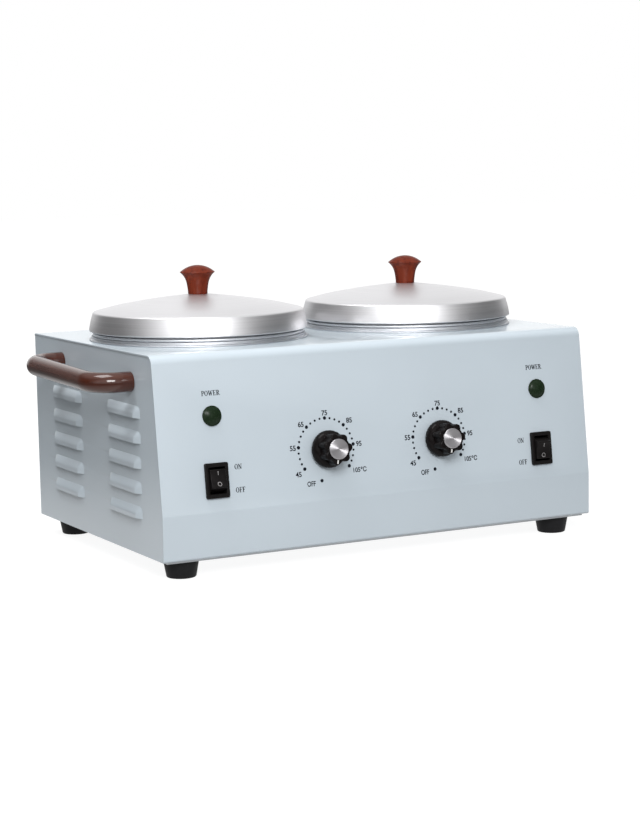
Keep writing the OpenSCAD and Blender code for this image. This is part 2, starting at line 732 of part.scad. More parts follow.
// Spun lid: flared side band, low cone, and a rim below that sits inside the pot
module lid(side) {
    color("#d4d5d7") in_housing() at_pot(side) rotate_extrude() polygon([
        [small_hole_lid, cone_top_z], [cone_top_r, cone_top_z], [shoulder_r - 0.9, shoulder_z + 0.35],
        [shoulder_r, shoulder_z - 0.6], [(lid_r + shoulder_r) / 2 + 0.35, (lid_z + shoulder_z) / 2],
        [lid_r, lid_z + 0.7], [lid_r - 0.5, lid_z], [locator_r, lid_z],
        [locator_r, lid_z - lid_locator_h], [locator_r - lid_wall, lid_z - lid_locator_h],
        [locator_r - lid_wall, lid_z + lid_wall], [lid_r - lid_wall - 0.6, lid_z + lid_wall],
        [(lid_r + shoulder_r) / 2 + 0.35 - lid_wall, (lid_z + shoulder_z) / 2],
        [shoulder_r - lid_wall - 0.5, shoulder_z - lid_wall], [cone_top_r, cone_top_z - lid_wall],
        [small_hole_lid, cone_top_z - lid_wall]
    ]);
}
small_hole_lid = large_hole_r;

// Turned wooden knob, flared and domed
module lid_knob(side) {
    edge_z = knob_wood_h - knob_wood_dome_h;
    foot = knob_wood_foot_r;
    flare = knob_wood_edge_r - knob_wood_foot_r;
    dome_r = (pow(knob_wood_edge_r - 0.3, 2) + pow(knob_wood_dome_h, 2)) / (2 * knob_wood_dome_h);
    color("#8a3420") in_housing() at_pot(side) translate([0, 0, cone_top_z]) difference() {
        union() {
            rotate_extrude() polygon(concat([[0, 0], [foot, 0]],
                [for (i = [0 : 12]) let (up = i / 12)
                    [foot + flare * (0.3 * up + 0.7 * pow(up, 4)), edge_z * (0.12 + 0.88 * up) - 0.3 * up]],
                [[knob_wood_edge_r, edge_z], [knob_wood_edge_r - 0.3, edge_z + 0.3]],
                [for (i = [1 : 12]) let (a = (1 - i / 12) * asin((knob_wood_edge_r - 0.3) / dome_r))
                    [dome_r * sin(a), knob_wood_h - dome_r + dome_r * cos(a)]]
            ));
        }
        translate([0, 0, -1]) cylinder(r = large_screw[0] + 0.05, h = 12);
    }
}

// Screw that holds the knob from inside the lid
module lid_screw(side) {
    color("#c7cbd0") in_housing() at_pot(side) translate([0, 0, cone_top_z - lid_wall])
        screw(large_screw, lid_wall + 10);
}

// Switch body with its frame, open for the rocker
module switch_housing(side) {
    color("#1b1c1e") in_housing() on_front(side * switch_x, switch_v) difference() {
        union() {
            linear_extrude(switch_frame_t) round_rect(switch_w, switch_l, 1);
            translate([-switch_body_w, -switch_body_l, -switch_depth])
                cube([2 * switch_body_w, 2 * switch_body_l, switch_depth + eps]);
            for (y = [-1, 1]) translate([-2.4, y * 4.5 - 0.4, -switch_depth - 7]) cube([4.8, 0.8, 7.5]);
        }
        translate([-switch_open_w, -switch_open_l, -switch_depth + 2])
            cube([2 * switch_open_w, 2 * switch_open_l, switch_depth + switch_frame_t]);
        translate([0, 0, pivot_h]) rotate([0, 90, 0])
            cylinder(r = rocker_pin_r + pin_clear, h = 2 * switch_body_w + 2, center = true);
    }
}

// Rocker on its two pins; side -1 rests switched on, side 1 switched off
module rocker(side) {
    reach = switch_open_l - lift_clear;
    base_y = (reach - 1) / cos(rocker_tilt);
    top_y = base_y - rocker_top * tan(rocker_tilt);
    color("#141416") in_housing() on_front(side * switch_x, switch_v) translate([0, 0, pivot_h])
        rotate([side * rocker_tilt, 0, 0]) {
            rotate([90, 0, 90]) linear_extrude(2 * rocker_w, center = true) polygon(concat(
                [[-base_y, 0], [-3, -3], [3, -3], [base_y, 0]],
                [for (i = [8 : -1 : -8]) [top_y * i / 8, rocker_top - rocker_dip * (1 - pow(i / 8, 2))]]
            ));
            rotate([0, 90, 0]) cylinder(r = rocker_pin_r, h = 2 * switch_body_w - 0.4, center = true);
        }
}

// Round pilot lamp: low domed lens on a barrel that passes through the panel
module pilot_lamp(side) {
    dome = 1.6;
    barrel_l = 20;
    ball_r = (pow(lamp_r - 0.7, 2) + dome * dome) / (2 * dome);
    color("#1f3a2a") in_housing() on_front(side * switch_x, lamp_v) {
        rotate_extrude() polygon(concat(
            [[0, -barrel_l], [lamp_r - 1, -barrel_l], [lamp_r - 1, 0], [lamp_r, 0], [lamp_r, 0.8],
                [lamp_r - 0.3, 1.1], [lamp_r - 0.7, 1.1]],
            [for (i = [1 : 8]) let (a = (1 - i / 8) * asin((lamp_r - 0.7) / ball_r))
                [ball_r * sin(a), 1.1 + dome - ball_r + ball_r * cos(a)]]));
        for (x = [-1, 1]) translate([x * 2.2 - 0.4, -1.2, -barrel_l - 6]) cube([0.8, 2.4, 6.5]);
    }
}

// Spring clips that hold the lamps behind the panel
module lamp_clips() {
    color("#b9bdc1") in_housing() for (side = [-1, 1]) on_front(side * switch_x, lamp_v)
        translate([0, 0, -sheet_t - clamp_gap - 1.2]) difference() {
            cylinder(r = lamp_r + 2, h = 1.2);
            translate([0, 0, -1]) cylinder(r = lamp_r - 1 + 0.05, h = 4);
        }
}

// Rotary control behind the panel, its bushing through the panel
module temperature_control(side) {
    back_h = -sheet_t - clamp_gap - control_h;
    color("#4a5a4c") in_housing() on_front(side * dial_x, dial_v) difference() {
        union() {
            translate([0, 0, back_h]) cylinder(r = control_r, h = control_h);
            translate([0, 0, back_h + eps]) cylinder(r = bushing_r, h = bushing_h - back_h - eps);
            for (x = [-1, 0, 1]) translate([x * 5 - 1, control_r - 3, back_h + 1.5]) cube([2, 8, 0.8]);
        }
        translate([0, 0, shaft_low - 0.5]) cylinder(r = shaft_r + shaft_clear, h = 20);
    }
}

// Nuts on the bushings, under the knobs
module control_nuts() {
    color("#c7cbd0") in_housing() for (side = [-1, 1]) on_front(side * dial_x, dial_v)
        hex_nut(nut_r, bushing_r + 0.05, nut_h);
}

// Shaft of a control, flatted where the knob grips it
module control_shaft(side) {
    color("#c4c6c8") in_housing() on_front(side * dial_x, dial_v) rotate([0, 0, -pointer_rest]) difference() {
        translate([0, 0, shaft_low]) cylinder(r = shaft_r, h = shaft_top - shaft_low);
        translate([-4, shaft_r - 0.8, knob_hollow_h]) cube([8, 4, 20]);
    }
}

// Skirted knob with round lobes, hollow below for the nut
module knob(side) {
    shoulder_h = knob_gap + 5.4;
    color("#161618") in_housing() on_front(side * dial_x, dial_v) rotate([0, 0, -pointer_rest]) difference() {
        union() {
            rotate_extrude() polygon(concat(
                [[0, knob_gap], [knob_skirt_r - 0.4, knob_gap], [knob_skirt_r, knob_gap + 0.4]],
                [for (i = [0 : 8]) let (a = 90 * i / 8)
                    [knob_skirt_r - 3.4 * (1 - cos(a)),
                        knob_gap + 1.8 + (shoulder_h - knob_gap - 1.8) * sin(a)]],
                [[0, shoulder_h]]));
            intersection() {
                translate([0, 0, shoulder_h - 3]) linear_extrude(knob_top_h - shoulder_h + 3) {
                    circle(knob_valley_r);
                    for (i = [0 : knob_lobes - 1]) rotate(i * 360 / knob_lobes)
                        translate([0, knob_lobe_r - knob_lobe_size]) circle(knob_lobe_size);
                }
                edge_r = knob_lobe_r - knob_lobe_edge;
                cylinder(r1 = edge_r + knob_top_h, r2 = edge_r, h = knob_top_h);
            }
        }
        translate([0, 0, knob_gap - 1]) cylinder(r = knob_hollow_r, h = knob_hollow_h - knob_gap + 1);
        difference() {
            cylinder(r = shaft_r + 0.05, h = shaft_top + 0.3);
            translate([-4, shaft_r - 0.75, knob_hollow_h]) cube([8, 4, 20]);
        }
        translate([0, 0, knob_top_h - cap_sunk]) cylinder(r = knob_cap_r + 0.1, h = 3);
    }
}
knob_lobe_size = 2.5;
knob_valley_r = 8.1;
knob_lobe_edge = 0.8;
cap_sunk = 1.1;

// Spun aluminium cap let into the top of a knob
module knob_cap(side) {
    top = cap_sunk + knob_cap_h;
    color("#d9dadb") in_housing() on_front(side * dial_x, dial_v) translate([0, 0, knob_top_h - cap_sunk])
        rotate_extrude() polygon([[0, 0], [knob_cap_r, 0], [knob_cap_r, top - 0.3], [knob_cap_r - 0.3, top],
            [0, top]]);
}

inlet_body_w = 13.6;
inlet_body_h = 9.8;
inlet_body_l = 22;
inlet_screw_x = 20;
inlet_screw_l = 7;
inlet_flange_w = 50;
inlet_flange_h = 23;
inlet_flange_t = 2.2;
inlet_corner_r = 1.5;
inlet_socket_w = 24.6;
inlet_socket_h = 16.6;
inlet_socket_l = 17;
inlet_pin_x = 7;
inlet_pin_w = 2;
inlet_pin_h = 4;
inlet_pin_l = 15;

// Appliance inlet in the back panel, its socket open to the back
module power_inlet() {
    color("#1b1c1e") in_housing() translate([0, body_d - sheet_t, inlet_z]) rotate([-90, 0, 0]) {
        difference() {
            union() {
                linear_extrude(inlet_flange_t) round_rect(inlet_flange_w, inlet_flange_h, 4);
                translate([0, 0, -inlet_body_l]) linear_extrude(inlet_body_l + eps)
                    round_rect(2 * inlet_body_w, 2 * inlet_body_h, inlet_corner_r);
            }
            translate([0, 0, -inlet_socket_l]) linear_extrude(inlet_socket_l + inlet_flange_t + 1)
                round_rect(inlet_socket_w, inlet_socket_h, 2);
            for (x = [-1, 1]) translate([x * inlet_screw_x, 0, -1]) cylinder(r = small_screw[0] + 0.1, h = 6);
            for (x = [-1, 1]) translate([x * inlet_screw_x, 0, inlet_flange_t - 1.2])
                cylinder(r1 = small_screw[0] + 0.1, r2 = small_screw[1] + 0.15, h = 1.2 + eps);
        }
        for (p = [[-1, 0.5], [1, 0.5], [0, -0.5]])
            translate([p[0] * inlet_pin_x - inlet_pin_w / 2, (p[1] - 0.5) * inlet_pin_h, -inlet_socket_l - eps])
                cube([inlet_pin_w, inlet_pin_h, inlet_pin_l]);
        for (x = [-1 : 1]) translate([x * inlet_pin_x - tab_t / 2, -tab_w / 2, -inlet_body_l - tab_l + 0.3])
            cube([tab_t, tab_w, tab_l]);
    }
}

// Countersunk screws of the inlet
module inlet_screws() {
    color("#c7cbd0") in_housing() translate([0, body_d - sheet_t, inlet_z]) rotate([-90, 0, 0])
        for (x = [-1, 1]) translate([x * inlet_screw_x, 0, 0]) {
            translate([0, 0, inlet_flange_t - 1.2]) cylinder(r1 = small_screw[0], r2 = small_screw[1], h = 1.2);
            translate([0, 0, -inlet_screw_l])
                cylinder(r = small_screw[0], h = inlet_screw_l + inlet_flange_t - 1.2 + eps);
        }
}

// Straight piece of tube from one point to another, with a round end
module tube_run(from, to, r) {
    d = to - from;
    l = norm(d);
    translate(from) rotate([0, acos(d[2] / l), atan2(d[1], d[0])]) cylinder(r = r, h = l, $fn = 24);
    translate(from) sphere(r = r + 0.06, $fn = 24);
}

// Copper tubes from the controls to their sensors, bent under the wells
module capillary_tubes() {
    r = 0.9;
    out = 8;
    back_h = -sheet_t - clamp_gap - control_h;
    leave_v = dial_v - control_r * 0.55;
    back_y = leave_v * sin(slope) - (back_h - out) * cos(slope);
    back_z = front_foot_h + leave_v * cos(slope) + (back_h - out) * sin(slope);
    low_z = well_low_z - bulb_drop;
    end_x = pot_x - bulb_l / 2;
    points = [[dial_x, back_y, back_z], [dial_x, front_room - 8, low_z], [end_x - 12, pot_y - cutout_in, low_z]];
    color("#b87345") in_housing() both_sides() {
        on_front(dial_x, leave_v) translate([0, 0, back_h - out]) cylinder(r = r, h = out, $fn = 24);
        tube_run(points[0], points[1], r);
        tube_run(points[1], points[2], r);
        tube_run(points[2], [end_x - clamp_gap, pot_y - cutout_in, low_z], r);
    }
}

// Block on the base plate that joins the wires of the inlet and of both sides
module terminal_block() {
    pole = block_w / 8;
    color("#e8e4d6") in_housing() translate([0, block_y, 0]) difference() {
        union() {
            translate([-block_w / 2, -block_l / 2, 0]) cube([block_w, block_l, block_h * 0.45]);
            for (i = [-2.5 : 2.5])
                translate([i * pole - pole * 0.44, -block_l / 2 + 2, block_h * 0.45 - eps])
                    cube([pole * 0.88, block_l - 4, block_h * 0.55]);
        }
        for (x = [-1, 1]) translate([x * block_screw_x, 0, -1]) cylinder(r = small_hole_r, h = block_h);
        for (i = [-2.5 : 2.5]) {
            translate([i * pole, 0, block_h * 0.62]) rotate([90, 0, 0]) cylinder(r = 1.8, h = block_l, center = true);
            for (y = [-1, 1]) translate([i * pole, y * 4.4, block_h * 0.62]) cylinder(r = 1.6, h = block_h);
        }
    }
}

// Screws of the terminal block
module terminal_block_screws() {
    color("#c7cbd0") in_housing() for (x = [-1, 1])
        translate([x * block_screw_x, block_y, block_h * 0.45]) rotate([180, 0, 0])
            screw(small_screw, block_h * 0.45 + base_t + 1.5);
}

cover();
side_panel(-1);  // left_side_panel
side_panel(1);  // right_side_panel
back_panel();
base_plate();
foot(-1, false);  // front_left_foot
foot(1, false);  // front_right_foot
foot(-1, true);  // back_left_foot
foot(1, true);  // back_right_foot
foot_fasteners();
panel_screws();
handle(-1);  // left_handle
handle(1);  // right_handle
handle_screws();
collar(-1);  // left_collar
collar(1);  // right_collar
well(-1);  // left_well
well(1);  // right_well
heater_band(-1);  // left_heater_band
heater_band(1);  // right_heater_band
heater_clamp_screws();
insulation(-1);  // left_insulation
insulation(1);  // right_insulation
thermal_cutout(-1);  // left_thermal_cutout
thermal_cutout(1);  // right_thermal_cutout
temperature_sensors();
well_post(-1);  // left_well_post
well_post(1);  // right_well_post
well_post_screws();
pot(-1);  // left_pot
pot(1);  // right_pot
lid(-1);  // left_lid
lid(1);  // right_lid
lid_knob(-1);  // left_lid_knob
lid_knob(1);  // right_lid_knob
lid_screw(-1);  // left_lid_screw
lid_screw(1);  // right_lid_screw
switch_housing(-1);  // left_switch_housing
switch_housing(1);  // right_switch_housing
rocker(-1);  // left_rocker
rocker(1);  // right_rocker
pilot_lamp(-1);  // left_pilot_lamp
pilot_lamp(1);  // right_pilot_lamp
lamp_clips();
temperature_control(-1);  // left_temperature_control
temperature_control(1);  // right_temperature_control
control_nuts();
control_shaft(-1);  // left_control_shaft
control_shaft(1);  // right_control_shaft
knob(-1);  // left_knob
knob(1);  // right_knob
knob_cap(-1);  // left_knob_cap
knob_cap(1);  // right_knob_cap
power_inlet();
inlet_screws();
capillary_tubes();
terminal_block();
terminal_block_screws();
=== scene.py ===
# %% [markdown]
# A double wax warmer: a low enamelled case with two heated wells, and a lift-out pot, a lid,
# a rocker switch, a pilot lamp and a temperature dial for each. The model of its solids is
# loaded as a fixed frame, and every piece below is put around it, in the same place and from
# the same sizes. Nearly all of the shapes are worked out with numpy as grids of points.

# %% The frame and the case's own place in it
import math

import bmesh
import bpy
import numpy as np
from mathutils import Matrix, Vector


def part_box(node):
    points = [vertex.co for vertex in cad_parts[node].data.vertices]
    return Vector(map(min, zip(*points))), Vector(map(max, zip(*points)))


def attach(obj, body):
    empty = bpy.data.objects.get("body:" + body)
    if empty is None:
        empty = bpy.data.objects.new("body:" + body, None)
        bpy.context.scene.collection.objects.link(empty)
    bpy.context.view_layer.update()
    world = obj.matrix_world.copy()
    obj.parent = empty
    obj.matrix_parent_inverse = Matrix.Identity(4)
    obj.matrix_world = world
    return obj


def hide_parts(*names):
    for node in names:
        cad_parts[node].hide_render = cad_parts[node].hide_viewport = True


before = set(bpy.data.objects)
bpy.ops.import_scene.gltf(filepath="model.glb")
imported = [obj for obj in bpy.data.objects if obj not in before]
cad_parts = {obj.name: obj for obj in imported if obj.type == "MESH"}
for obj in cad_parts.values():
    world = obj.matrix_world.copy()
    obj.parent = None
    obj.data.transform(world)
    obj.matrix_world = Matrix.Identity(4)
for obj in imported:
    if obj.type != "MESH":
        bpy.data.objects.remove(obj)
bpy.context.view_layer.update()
MM = 0.001
SIDES = ((-1, "left"), (1, "right"))

# The case's lower front edge is at y = 0, z = 0 of the drawing, in millimetres.
case_low, case_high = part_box("cover")
MID_Y = -case_low.y / MM
FLOOR_Z = case_low.z / MM
HALF_W = case_high.x / MM
DEPTH = (case_high.y - case_low.y) / MM
HEIGHT = (case_high.z - case_low.z) / MM
SHEET = 1.2
print(f"case {2 * HALF_W:.1f} wide, {DEPTH:.1f} deep, {HEIGHT:.1f} high, {FLOOR_Z:.1f} above the table")

# %% [markdown]
# The front leans back above a short upright foot, so everything on it needs a frame of its
# own: x to the right, y up the slope and z square out of the panel. A 4 by 4 matrix holds
# such a frame, and one function turns drawing millimetres into metres in the model's frame.

# %% Frames of the case, the front panel and the pots
FOOT_H = 27.2
SETBACK = 11.2
LEAN = math.atan2(SETBACK, HEIGHT - FOOT_H)
lid_low, lid_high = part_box("right_lid")
POT_X = (lid_low.x + lid_high.x) / 2 / MM
POT_Y = (lid_low.y + lid_high.y) / 2 / MM + MID_Y


def case_frame(x=0.0, y=0.0, z=0.0):
    """Frame with the drawing's own directions and its origin at (x, y, z)."""
    return Matrix.Translation((x, y, z))


def front_frame(x, v, h=0.0, tip=0.0, turn=0.0):
    """Frame on the front panel, at x and v up the slope and h outwards, tipped about x and
    turned about z."""
    here = Matrix.Translation((x, v * math.sin(LEAN), FOOT_H + v * math.cos(LEAN)))
    here = here @ Matrix.Rotation(math.pi / 2 - LEAN, 4, "X") @ Matrix.Translation((0, 0, h))
    return here @ Matrix.Rotation(tip, 4, "X") @ Matrix.Rotation(turn, 4, "Z")


def placed(points, here):
    """Points in a frame's millimetres, as metres in the model's frame."""
    whole = np.array(Matrix.Translation((0, -MID_Y, FLOOR_Z)) @ here)
    return (np.asarray(points, float) @ whole[:3, :3].T + whole[:3, 3]) * MM


print(f"front leans {math.degrees(LEAN):.2f} degrees, pots at x = {POT_X:.1f}, y = {POT_Y:.1f}")

# %% [markdown]
# The camera stands low and to the left of the front, about 1.3 m away, with a fairly long
# lens. A long lens keeps the far lid nearly as large as the near one. Its place was worked
# out from where many corners and edges of the case and its fittings lie in a photograph,
# all fitted at once.

# %% The camera
LENS = 90.128
SENSOR = 36.0
YAW, PITCH, TILT = math.radians(28.063), math.radians(7.388), math.radians(-1.0205)
STAND = (-629.51, -1094.35, 240.57)
camera = bpy.data.objects.new("camera", bpy.data.cameras.new("camera"))
bpy.context.scene.collection.objects.link(camera)
bpy.context.scene.camera = camera
back = Vector((-math.sin(YAW) * math.cos(PITCH), -math.cos(YAW) * math.cos(PITCH), math.sin(PITCH)))
right = (-back).cross(Vector((0, 0, 1))).normalized()
up = right.cross(-back)
turned_right = math.cos(TILT) * right + math.sin(TILT) * up
turned_up = -math.sin(TILT) * right + math.cos(TILT) * up
stand = Vector(placed(STAND, case_frame()))
camera.matrix_world = Matrix([[turned_right[i], turned_up[i], back[i], stand[i]] for i in range(3)]
                             + [[0, 0, 0, 1]])
camera.data.sensor_fit = "VERTICAL"
camera.data.sensor_width = camera.data.sensor_height = SENSOR
camera.data.lens = LENS
camera.data.clip_start, camera.data.clip_end = 0.05, 30
print("camera at", [round(c, 3) for c in stand])

# %% [markdown]
# Almost every piece is a grid: rows of points that follow one parameter and columns that
# follow the other. Neighbours are joined by quads, and the grid may close on itself either
# way. Rows that shrink to one point become poles once equal points are merged.

# %% From a grid of points to a mesh
SAME_PLACE = 1e-6


def grid(points, wrap_u=False, wrap_v=False):
    """Part made of a grid: quad (i, j) joins point (i, j) with its neighbours at i + 1 and j + 1.
    Its map has the share of the way along a row, and the metres from row to row."""
    n, m = points.shape[:2]
    i, j = np.meshgrid(np.arange(n - (not wrap_u)), np.arange(m - (not wrap_v)), indexing="ij")
    corners = ((i, j), (i + 1, j), (i + 1, j + 1), (i, j + 1))
    quads = np.stack([(a % n) * m + b % m for a, b in corners], -1).reshape(-1, 4)
    steps = np.linalg.norm(points - np.roll(points, -1, 0), axis=2).mean(1)
    along = np.concatenate([[0], np.cumsum(steps)])
    uv = np.stack([np.stack([b / m, along[a]], -1) for a, b in corners], 2).reshape(-1, 4, 2)
    return points.reshape(-1, 3), quads.tolist(), uv.reshape(-1, 2)


def plate(outline):
    """Part made of one flat face with many corners, such as the cut end of a bar."""
    flat = np.asarray(outline, float)
    return flat, [list(range(len(flat)))], flat[:, :2] * 0


def capped(rows):
    """Parts of a closed bar: the grid round its rows of points and a plate at each end."""
    return [grid(rows, wrap_v=True), plate(rows[0]), plate(rows[-1])]


def piece(name, parts, finish, body="housing", node=None, sharp=32):
    """Named piece from closed parts. Equal points are merged, faces are turned outwards, and
    edges of more than `sharp` degrees stay crisp."""
    verts = np.concatenate([p[0] for p in parts])
    starts = np.cumsum([0] + [len(p[0]) for p in parts])
    faces = [[k + s for k in f] for p, s in zip(parts, starts) for f in p[1]]
    mesh = bpy.data.meshes.new(name)
    mesh.from_pydata(verts.tolist(), [], faces)
    layer = mesh.uv_layers.new(name="UVMap")
    layer.data.foreach_set("uv", np.concatenate([p[2] for p in parts]).astype(np.float32).ravel())
    work = bmesh.new()
    work.from_mesh(mesh)
    bmesh.ops.remove_doubles(work, verts=work.verts, dist=SAME_PLACE)
    bmesh.ops.recalc_face_normals(work, faces=work.faces)
    work.to_mesh(mesh)
    work.free()
    mesh.materials.append(finish)
    obj = bpy.data.objects.new(name, mesh)
    bpy.context.scene.collection.objects.link(obj)
    soften(obj, sharp)
    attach(obj, body)
    if node:
        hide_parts(node)
    return obj


def soften(obj, sharp):
    """Soft shading, with the edges sharper than that angle kept crisp."""
    obj.data.shade_smooth()
    obj.data.set_sharp_from_angle(angle=math.radians(sharp))


def settled(obj, sharp=32):
    """Puts the result of the piece's modifiers into its mesh."""
    seen = obj.evaluated_get(bpy.context.evaluated_depsgraph_get())
    old, obj.data = obj.data, bpy.data.meshes.new_from_object(seen)
    obj.modifiers.clear()
    bpy.data.meshes.remove(old)
    soften(obj, sharp)
    return obj

# %% [markdown]
# Real edges are never knife-sharp. A profile is drawn with plain corners first, and then
# each corner is swapped for an arc that touches both of its sides. The arc's points come
# from blending the two directions that run from its centre to where it touches.

# %% Round corners, and bodies turned round an axis
def rounded(corners, radii, steps=6, closed=True):
    """Outline with each corner swapped for an arc of radius r, which touches the sides
    r / tan(half the corner's angle) away from it."""
    p = np.asarray(corners, float)
    r = np.broadcast_to(np.asarray(radii, float), len(p)).copy()
    if not closed:
        r[[0, -1]] = 0
    before, after = np.roll(p, 1, 0) - p, np.roll(p, -1, 0) - p
    before /= np.linalg.norm(before, axis=1)[:, None] + 1e-12
    after /= np.linalg.norm(after, axis=1)[:, None] + 1e-12
    half = np.arccos(np.clip((before * after).sum(1), -1, 1)) / 2
    half = np.clip(half, 1e-3, math.pi / 2 - 1e-4)
    middle = before + after
    middle /= np.linalg.norm(middle, axis=1)[:, None] + 1e-12
    centre = p + middle * (r / np.sin(half))[:, None]
    first = p + before * (r / np.tan(half))[:, None] - centre
    last = p + after * (r / np.tan(half))[:, None] - centre
    bend = math.pi - 2 * half
    s = np.linspace(0, 1, steps + 1)
    w0 = np.sin((1 - s) * bend[:, None]) / np.sin(bend)[:, None]
    w1 = np.sin(s * bend[:, None]) / np.sin(bend)[:, None]
    arcs = centre[:, None] + w0[..., None] * first[:, None] + w1[..., None] * last[:, None]
    arcs[r == 0] = p[r == 0][:, None]
    line = arcs.reshape(-1, p.shape[1])
    keep = np.concatenate([[True], np.linalg.norm(np.diff(line, axis=0), axis=1) > 1e-6])
    return line[keep]


def rectangle(half_x, half_y, corner, steps=4):
    """Outline of a rectangle with round corners."""
    plain = [[-half_x, -half_y], [half_x, -half_y], [half_x, half_y], [-half_x, half_y]]
    return rounded(plain, corner, steps)


def dome(half, tall, top, points):
    """Profile of a low dome from its edge to its middle, an arc of a circle whose radius is
    (half squared + tall squared) / twice tall."""
    radius = (half ** 2 + tall ** 2) / (2 * tall)
    a = np.linspace(1, 0, points) * math.asin(half / radius)
    return np.c_[radius * np.sin(a), top - radius + radius * np.cos(a)]


def turned(profile, here, closed=False, around=144):
    """Body of revolution: each profile point (r, z) goes round the z axis as (r cos a, r sin a, z)."""
    a = np.linspace(0, 2 * math.pi, around, endpoint=False)
    r, z = profile[:, :1], profile[:, 1:]
    points = np.stack([r * np.cos(a), r * np.sin(a), z + 0 * a], -1)
    return grid(placed(points, here), wrap_u=closed, wrap_v=True)


def offsets(path, closed=False):
    """Vectors that move each point of a flat path one unit to its left, lengthened at corners
    as a mitre is."""
    step = np.roll(path, -1, 0) - path
    if not closed:
        step[-1] = step[-2]
    step /= np.linalg.norm(step, axis=1)[:, None]
    after = np.stack([-step[:, 1], step[:, 0]], 1)
    before = np.roll(after, 1, 0)
    if not closed:
        before[0] = after[0]
    return (before + after) / (1 + (before * after).sum(1))[:, None]


print("helpers ready")

# %% [markdown]
# The finishes come from a few nodes each. A noise pattern in the piece's own coordinates
# shifts the colour and the polish a little, and a finer one raises a bump. A number that is
# the same all over stays on the shader itself.

# %% Finishes
def new_finish(name, roughness, metallic=0.0, **sockets):
    """Material with its fixed numbers set on the shader."""
    finish = bpy.data.materials.new(name)
    finish.use_nodes = True
    shader = finish.node_tree.nodes["Principled BSDF"]
    shader.inputs["Roughness"].default_value = roughness
    shader.inputs["Metallic"].default_value = metallic
    for socket, value in sockets.items():
        shader.inputs[socket.replace("_", " ")].default_value = value
    return finish, shader


def node(finish, kind, inputs=None, **settings):
    """New node of that kind in a finish or a world, with its settings and its inputs, each of
    which is a value or another node's output."""
    made = finish.node_tree.nodes.new(kind)
    for key, value in settings.items():
        setattr(made, key, value)
    for key, value in (inputs or {}).items():
        if isinstance(value, bpy.types.NodeSocket):
            finish.node_tree.links.new(value, made.inputs[key])
        else:
            made.inputs[key].default_value = value
    return made


def pattern(finish, scale, detail=3.0, stretch=(1, 1, 1), source="Object", rough=0.55):
    """Noise with that many features a metre, stretched along the axes; its value runs from 0 to 1."""
    place = node(finish, "ShaderNodeTexCoord")
    turn = node(finish, "ShaderNodeMapping", {"Vector": place.outputs[source], "Scale": stretch})
    noise = node(finish, "ShaderNodeTexNoise", {"Vector": turn.outputs[0], "Scale": scale,
                                                "Detail": detail, "Roughness": rough})
    return noise.outputs["Fac"]


def blended(finish, value, stops):
    """Colours along a ramp, read by a pattern's value; stops are (place, colour)."""
    ramp = node(finish, "ShaderNodeValToRGB", {"Fac": value})
    while len(ramp.color_ramp.elements) < len(stops):
        ramp.color_ramp.elements.new(0.5)
    for element, (place, colour) in zip(ramp.color_ramp.elements, stops):
        element.position, element.color = place, (*colour, 1)
    return ramp.outputs["Color"]


def shade(colour, by):
    """Colour with its three parts multiplied by the same number."""
    return tuple(min(1.0, c * by) for c in colour)


def link(finish, output, shader, socket):
    """Joins a node's output to one of the shader's sockets."""
    finish.node_tree.links.new(output, shader.inputs[socket])


def bumped(finish, shader, height, depth):
    """Raises the surface by depth metres times a pattern's value."""
    bump = node(finish, "ShaderNodeBump", {"Height": height, "Strength": 1.0, "Distance": depth})
    link(finish, bump.outputs["Normal"], shader, "Normal")


def polish(finish, shader, value, low, high):
    """Roughness between two limits, read by a pattern's value."""
    spread = node(finish, "ShaderNodeMapRange", {"Value": value, "From Min": 0.3, "From Max": 0.7,
                                                 "To Min": low, "To Max": high})
    link(finish, spread.outputs[0], shader, "Roughness")


def simple_finish(name, colour, low, high, scale, depth=0.0, spread=0.06, stretch=(1, 1, 1), **fixed):
    """Finish with one pattern for colour and polish and a finer one for the bump."""
    finish, shader = new_finish(name, low, **fixed)
    broad = pattern(finish, scale, stretch=stretch)
    tones = [(0.3, shade(colour, 1 - spread)), (0.7, shade(colour, 1 + spread))]
    link(finish, blended(finish, broad, tones), shader, "Base Color")
    polish(finish, shader, broad, low, high)
    if depth:
        bumped(finish, shader, pattern(finish, scale * 6, stretch=stretch), depth)
    return finish


print("finish helpers ready")

# %% [markdown]
# The case has a smooth baked enamel: a pale blue-grey base under a clear glossy layer. Its
# only texture is the slight waviness of a sprayed coat, which shows where it mirrors
# something, so the bump is broad and a few thousandths of a millimetre high.

# %% Enamel
ENAMEL_COLOUR = (0.515, 0.583, 0.636)
enamel = simple_finish("housing_enamel", ENAMEL_COLOUR, 0.36, 0.42, 18, spread=0.012,
                       Specular_IOR_Level=0.3, Coat_Weight=0.6, Coat_Roughness=0.04)
bumped(enamel, enamel.node_tree.nodes["Principled BSDF"], pattern(enamel, 260, 1.0), 4e-6)

# %% [markdown]
# The lids and collars are spun from sheet on a lathe. The tool leaves fine rings, and they
# spread a reflection across themselves. The shader's anisotropy does that, and its tangent
# follows the turning direction, which every turned grid stores as the first number of its
# map. A faint noise drawn out along the same map varies the shine from ring to ring. The
# small caps of the dials have the strongest rings, so their shine gathers in two sectors.

# %% Spun and drawn aluminium
def spun(name, colour, low, high, rings, anisotropic, depth=0.0):
    """Metal with that many fine rings a metre of profile, and a shine that spreads across them."""
    finish, shader = new_finish(name, low, 1.0, Anisotropic=anisotropic, Anisotropic_Rotation=0.25)
    lines = pattern(finish, 1.0, 2.0, stretch=(3, rings, 1), source="UV")
    tones = [(0.3, shade(colour, 0.95)), (0.7, shade(colour, 1.04))]
    link(finish, blended(finish, lines, tones), shader, "Base Color")
    polish(finish, shader, lines, low, high)
    tangent = node(finish, "ShaderNodeTangent", direction_type="UV_MAP", uv_map="UVMap")
    link(finish, tangent.outputs[0], shader, "Tangent")
    if depth:
        bumped(finish, shader, lines, depth)
    return finish


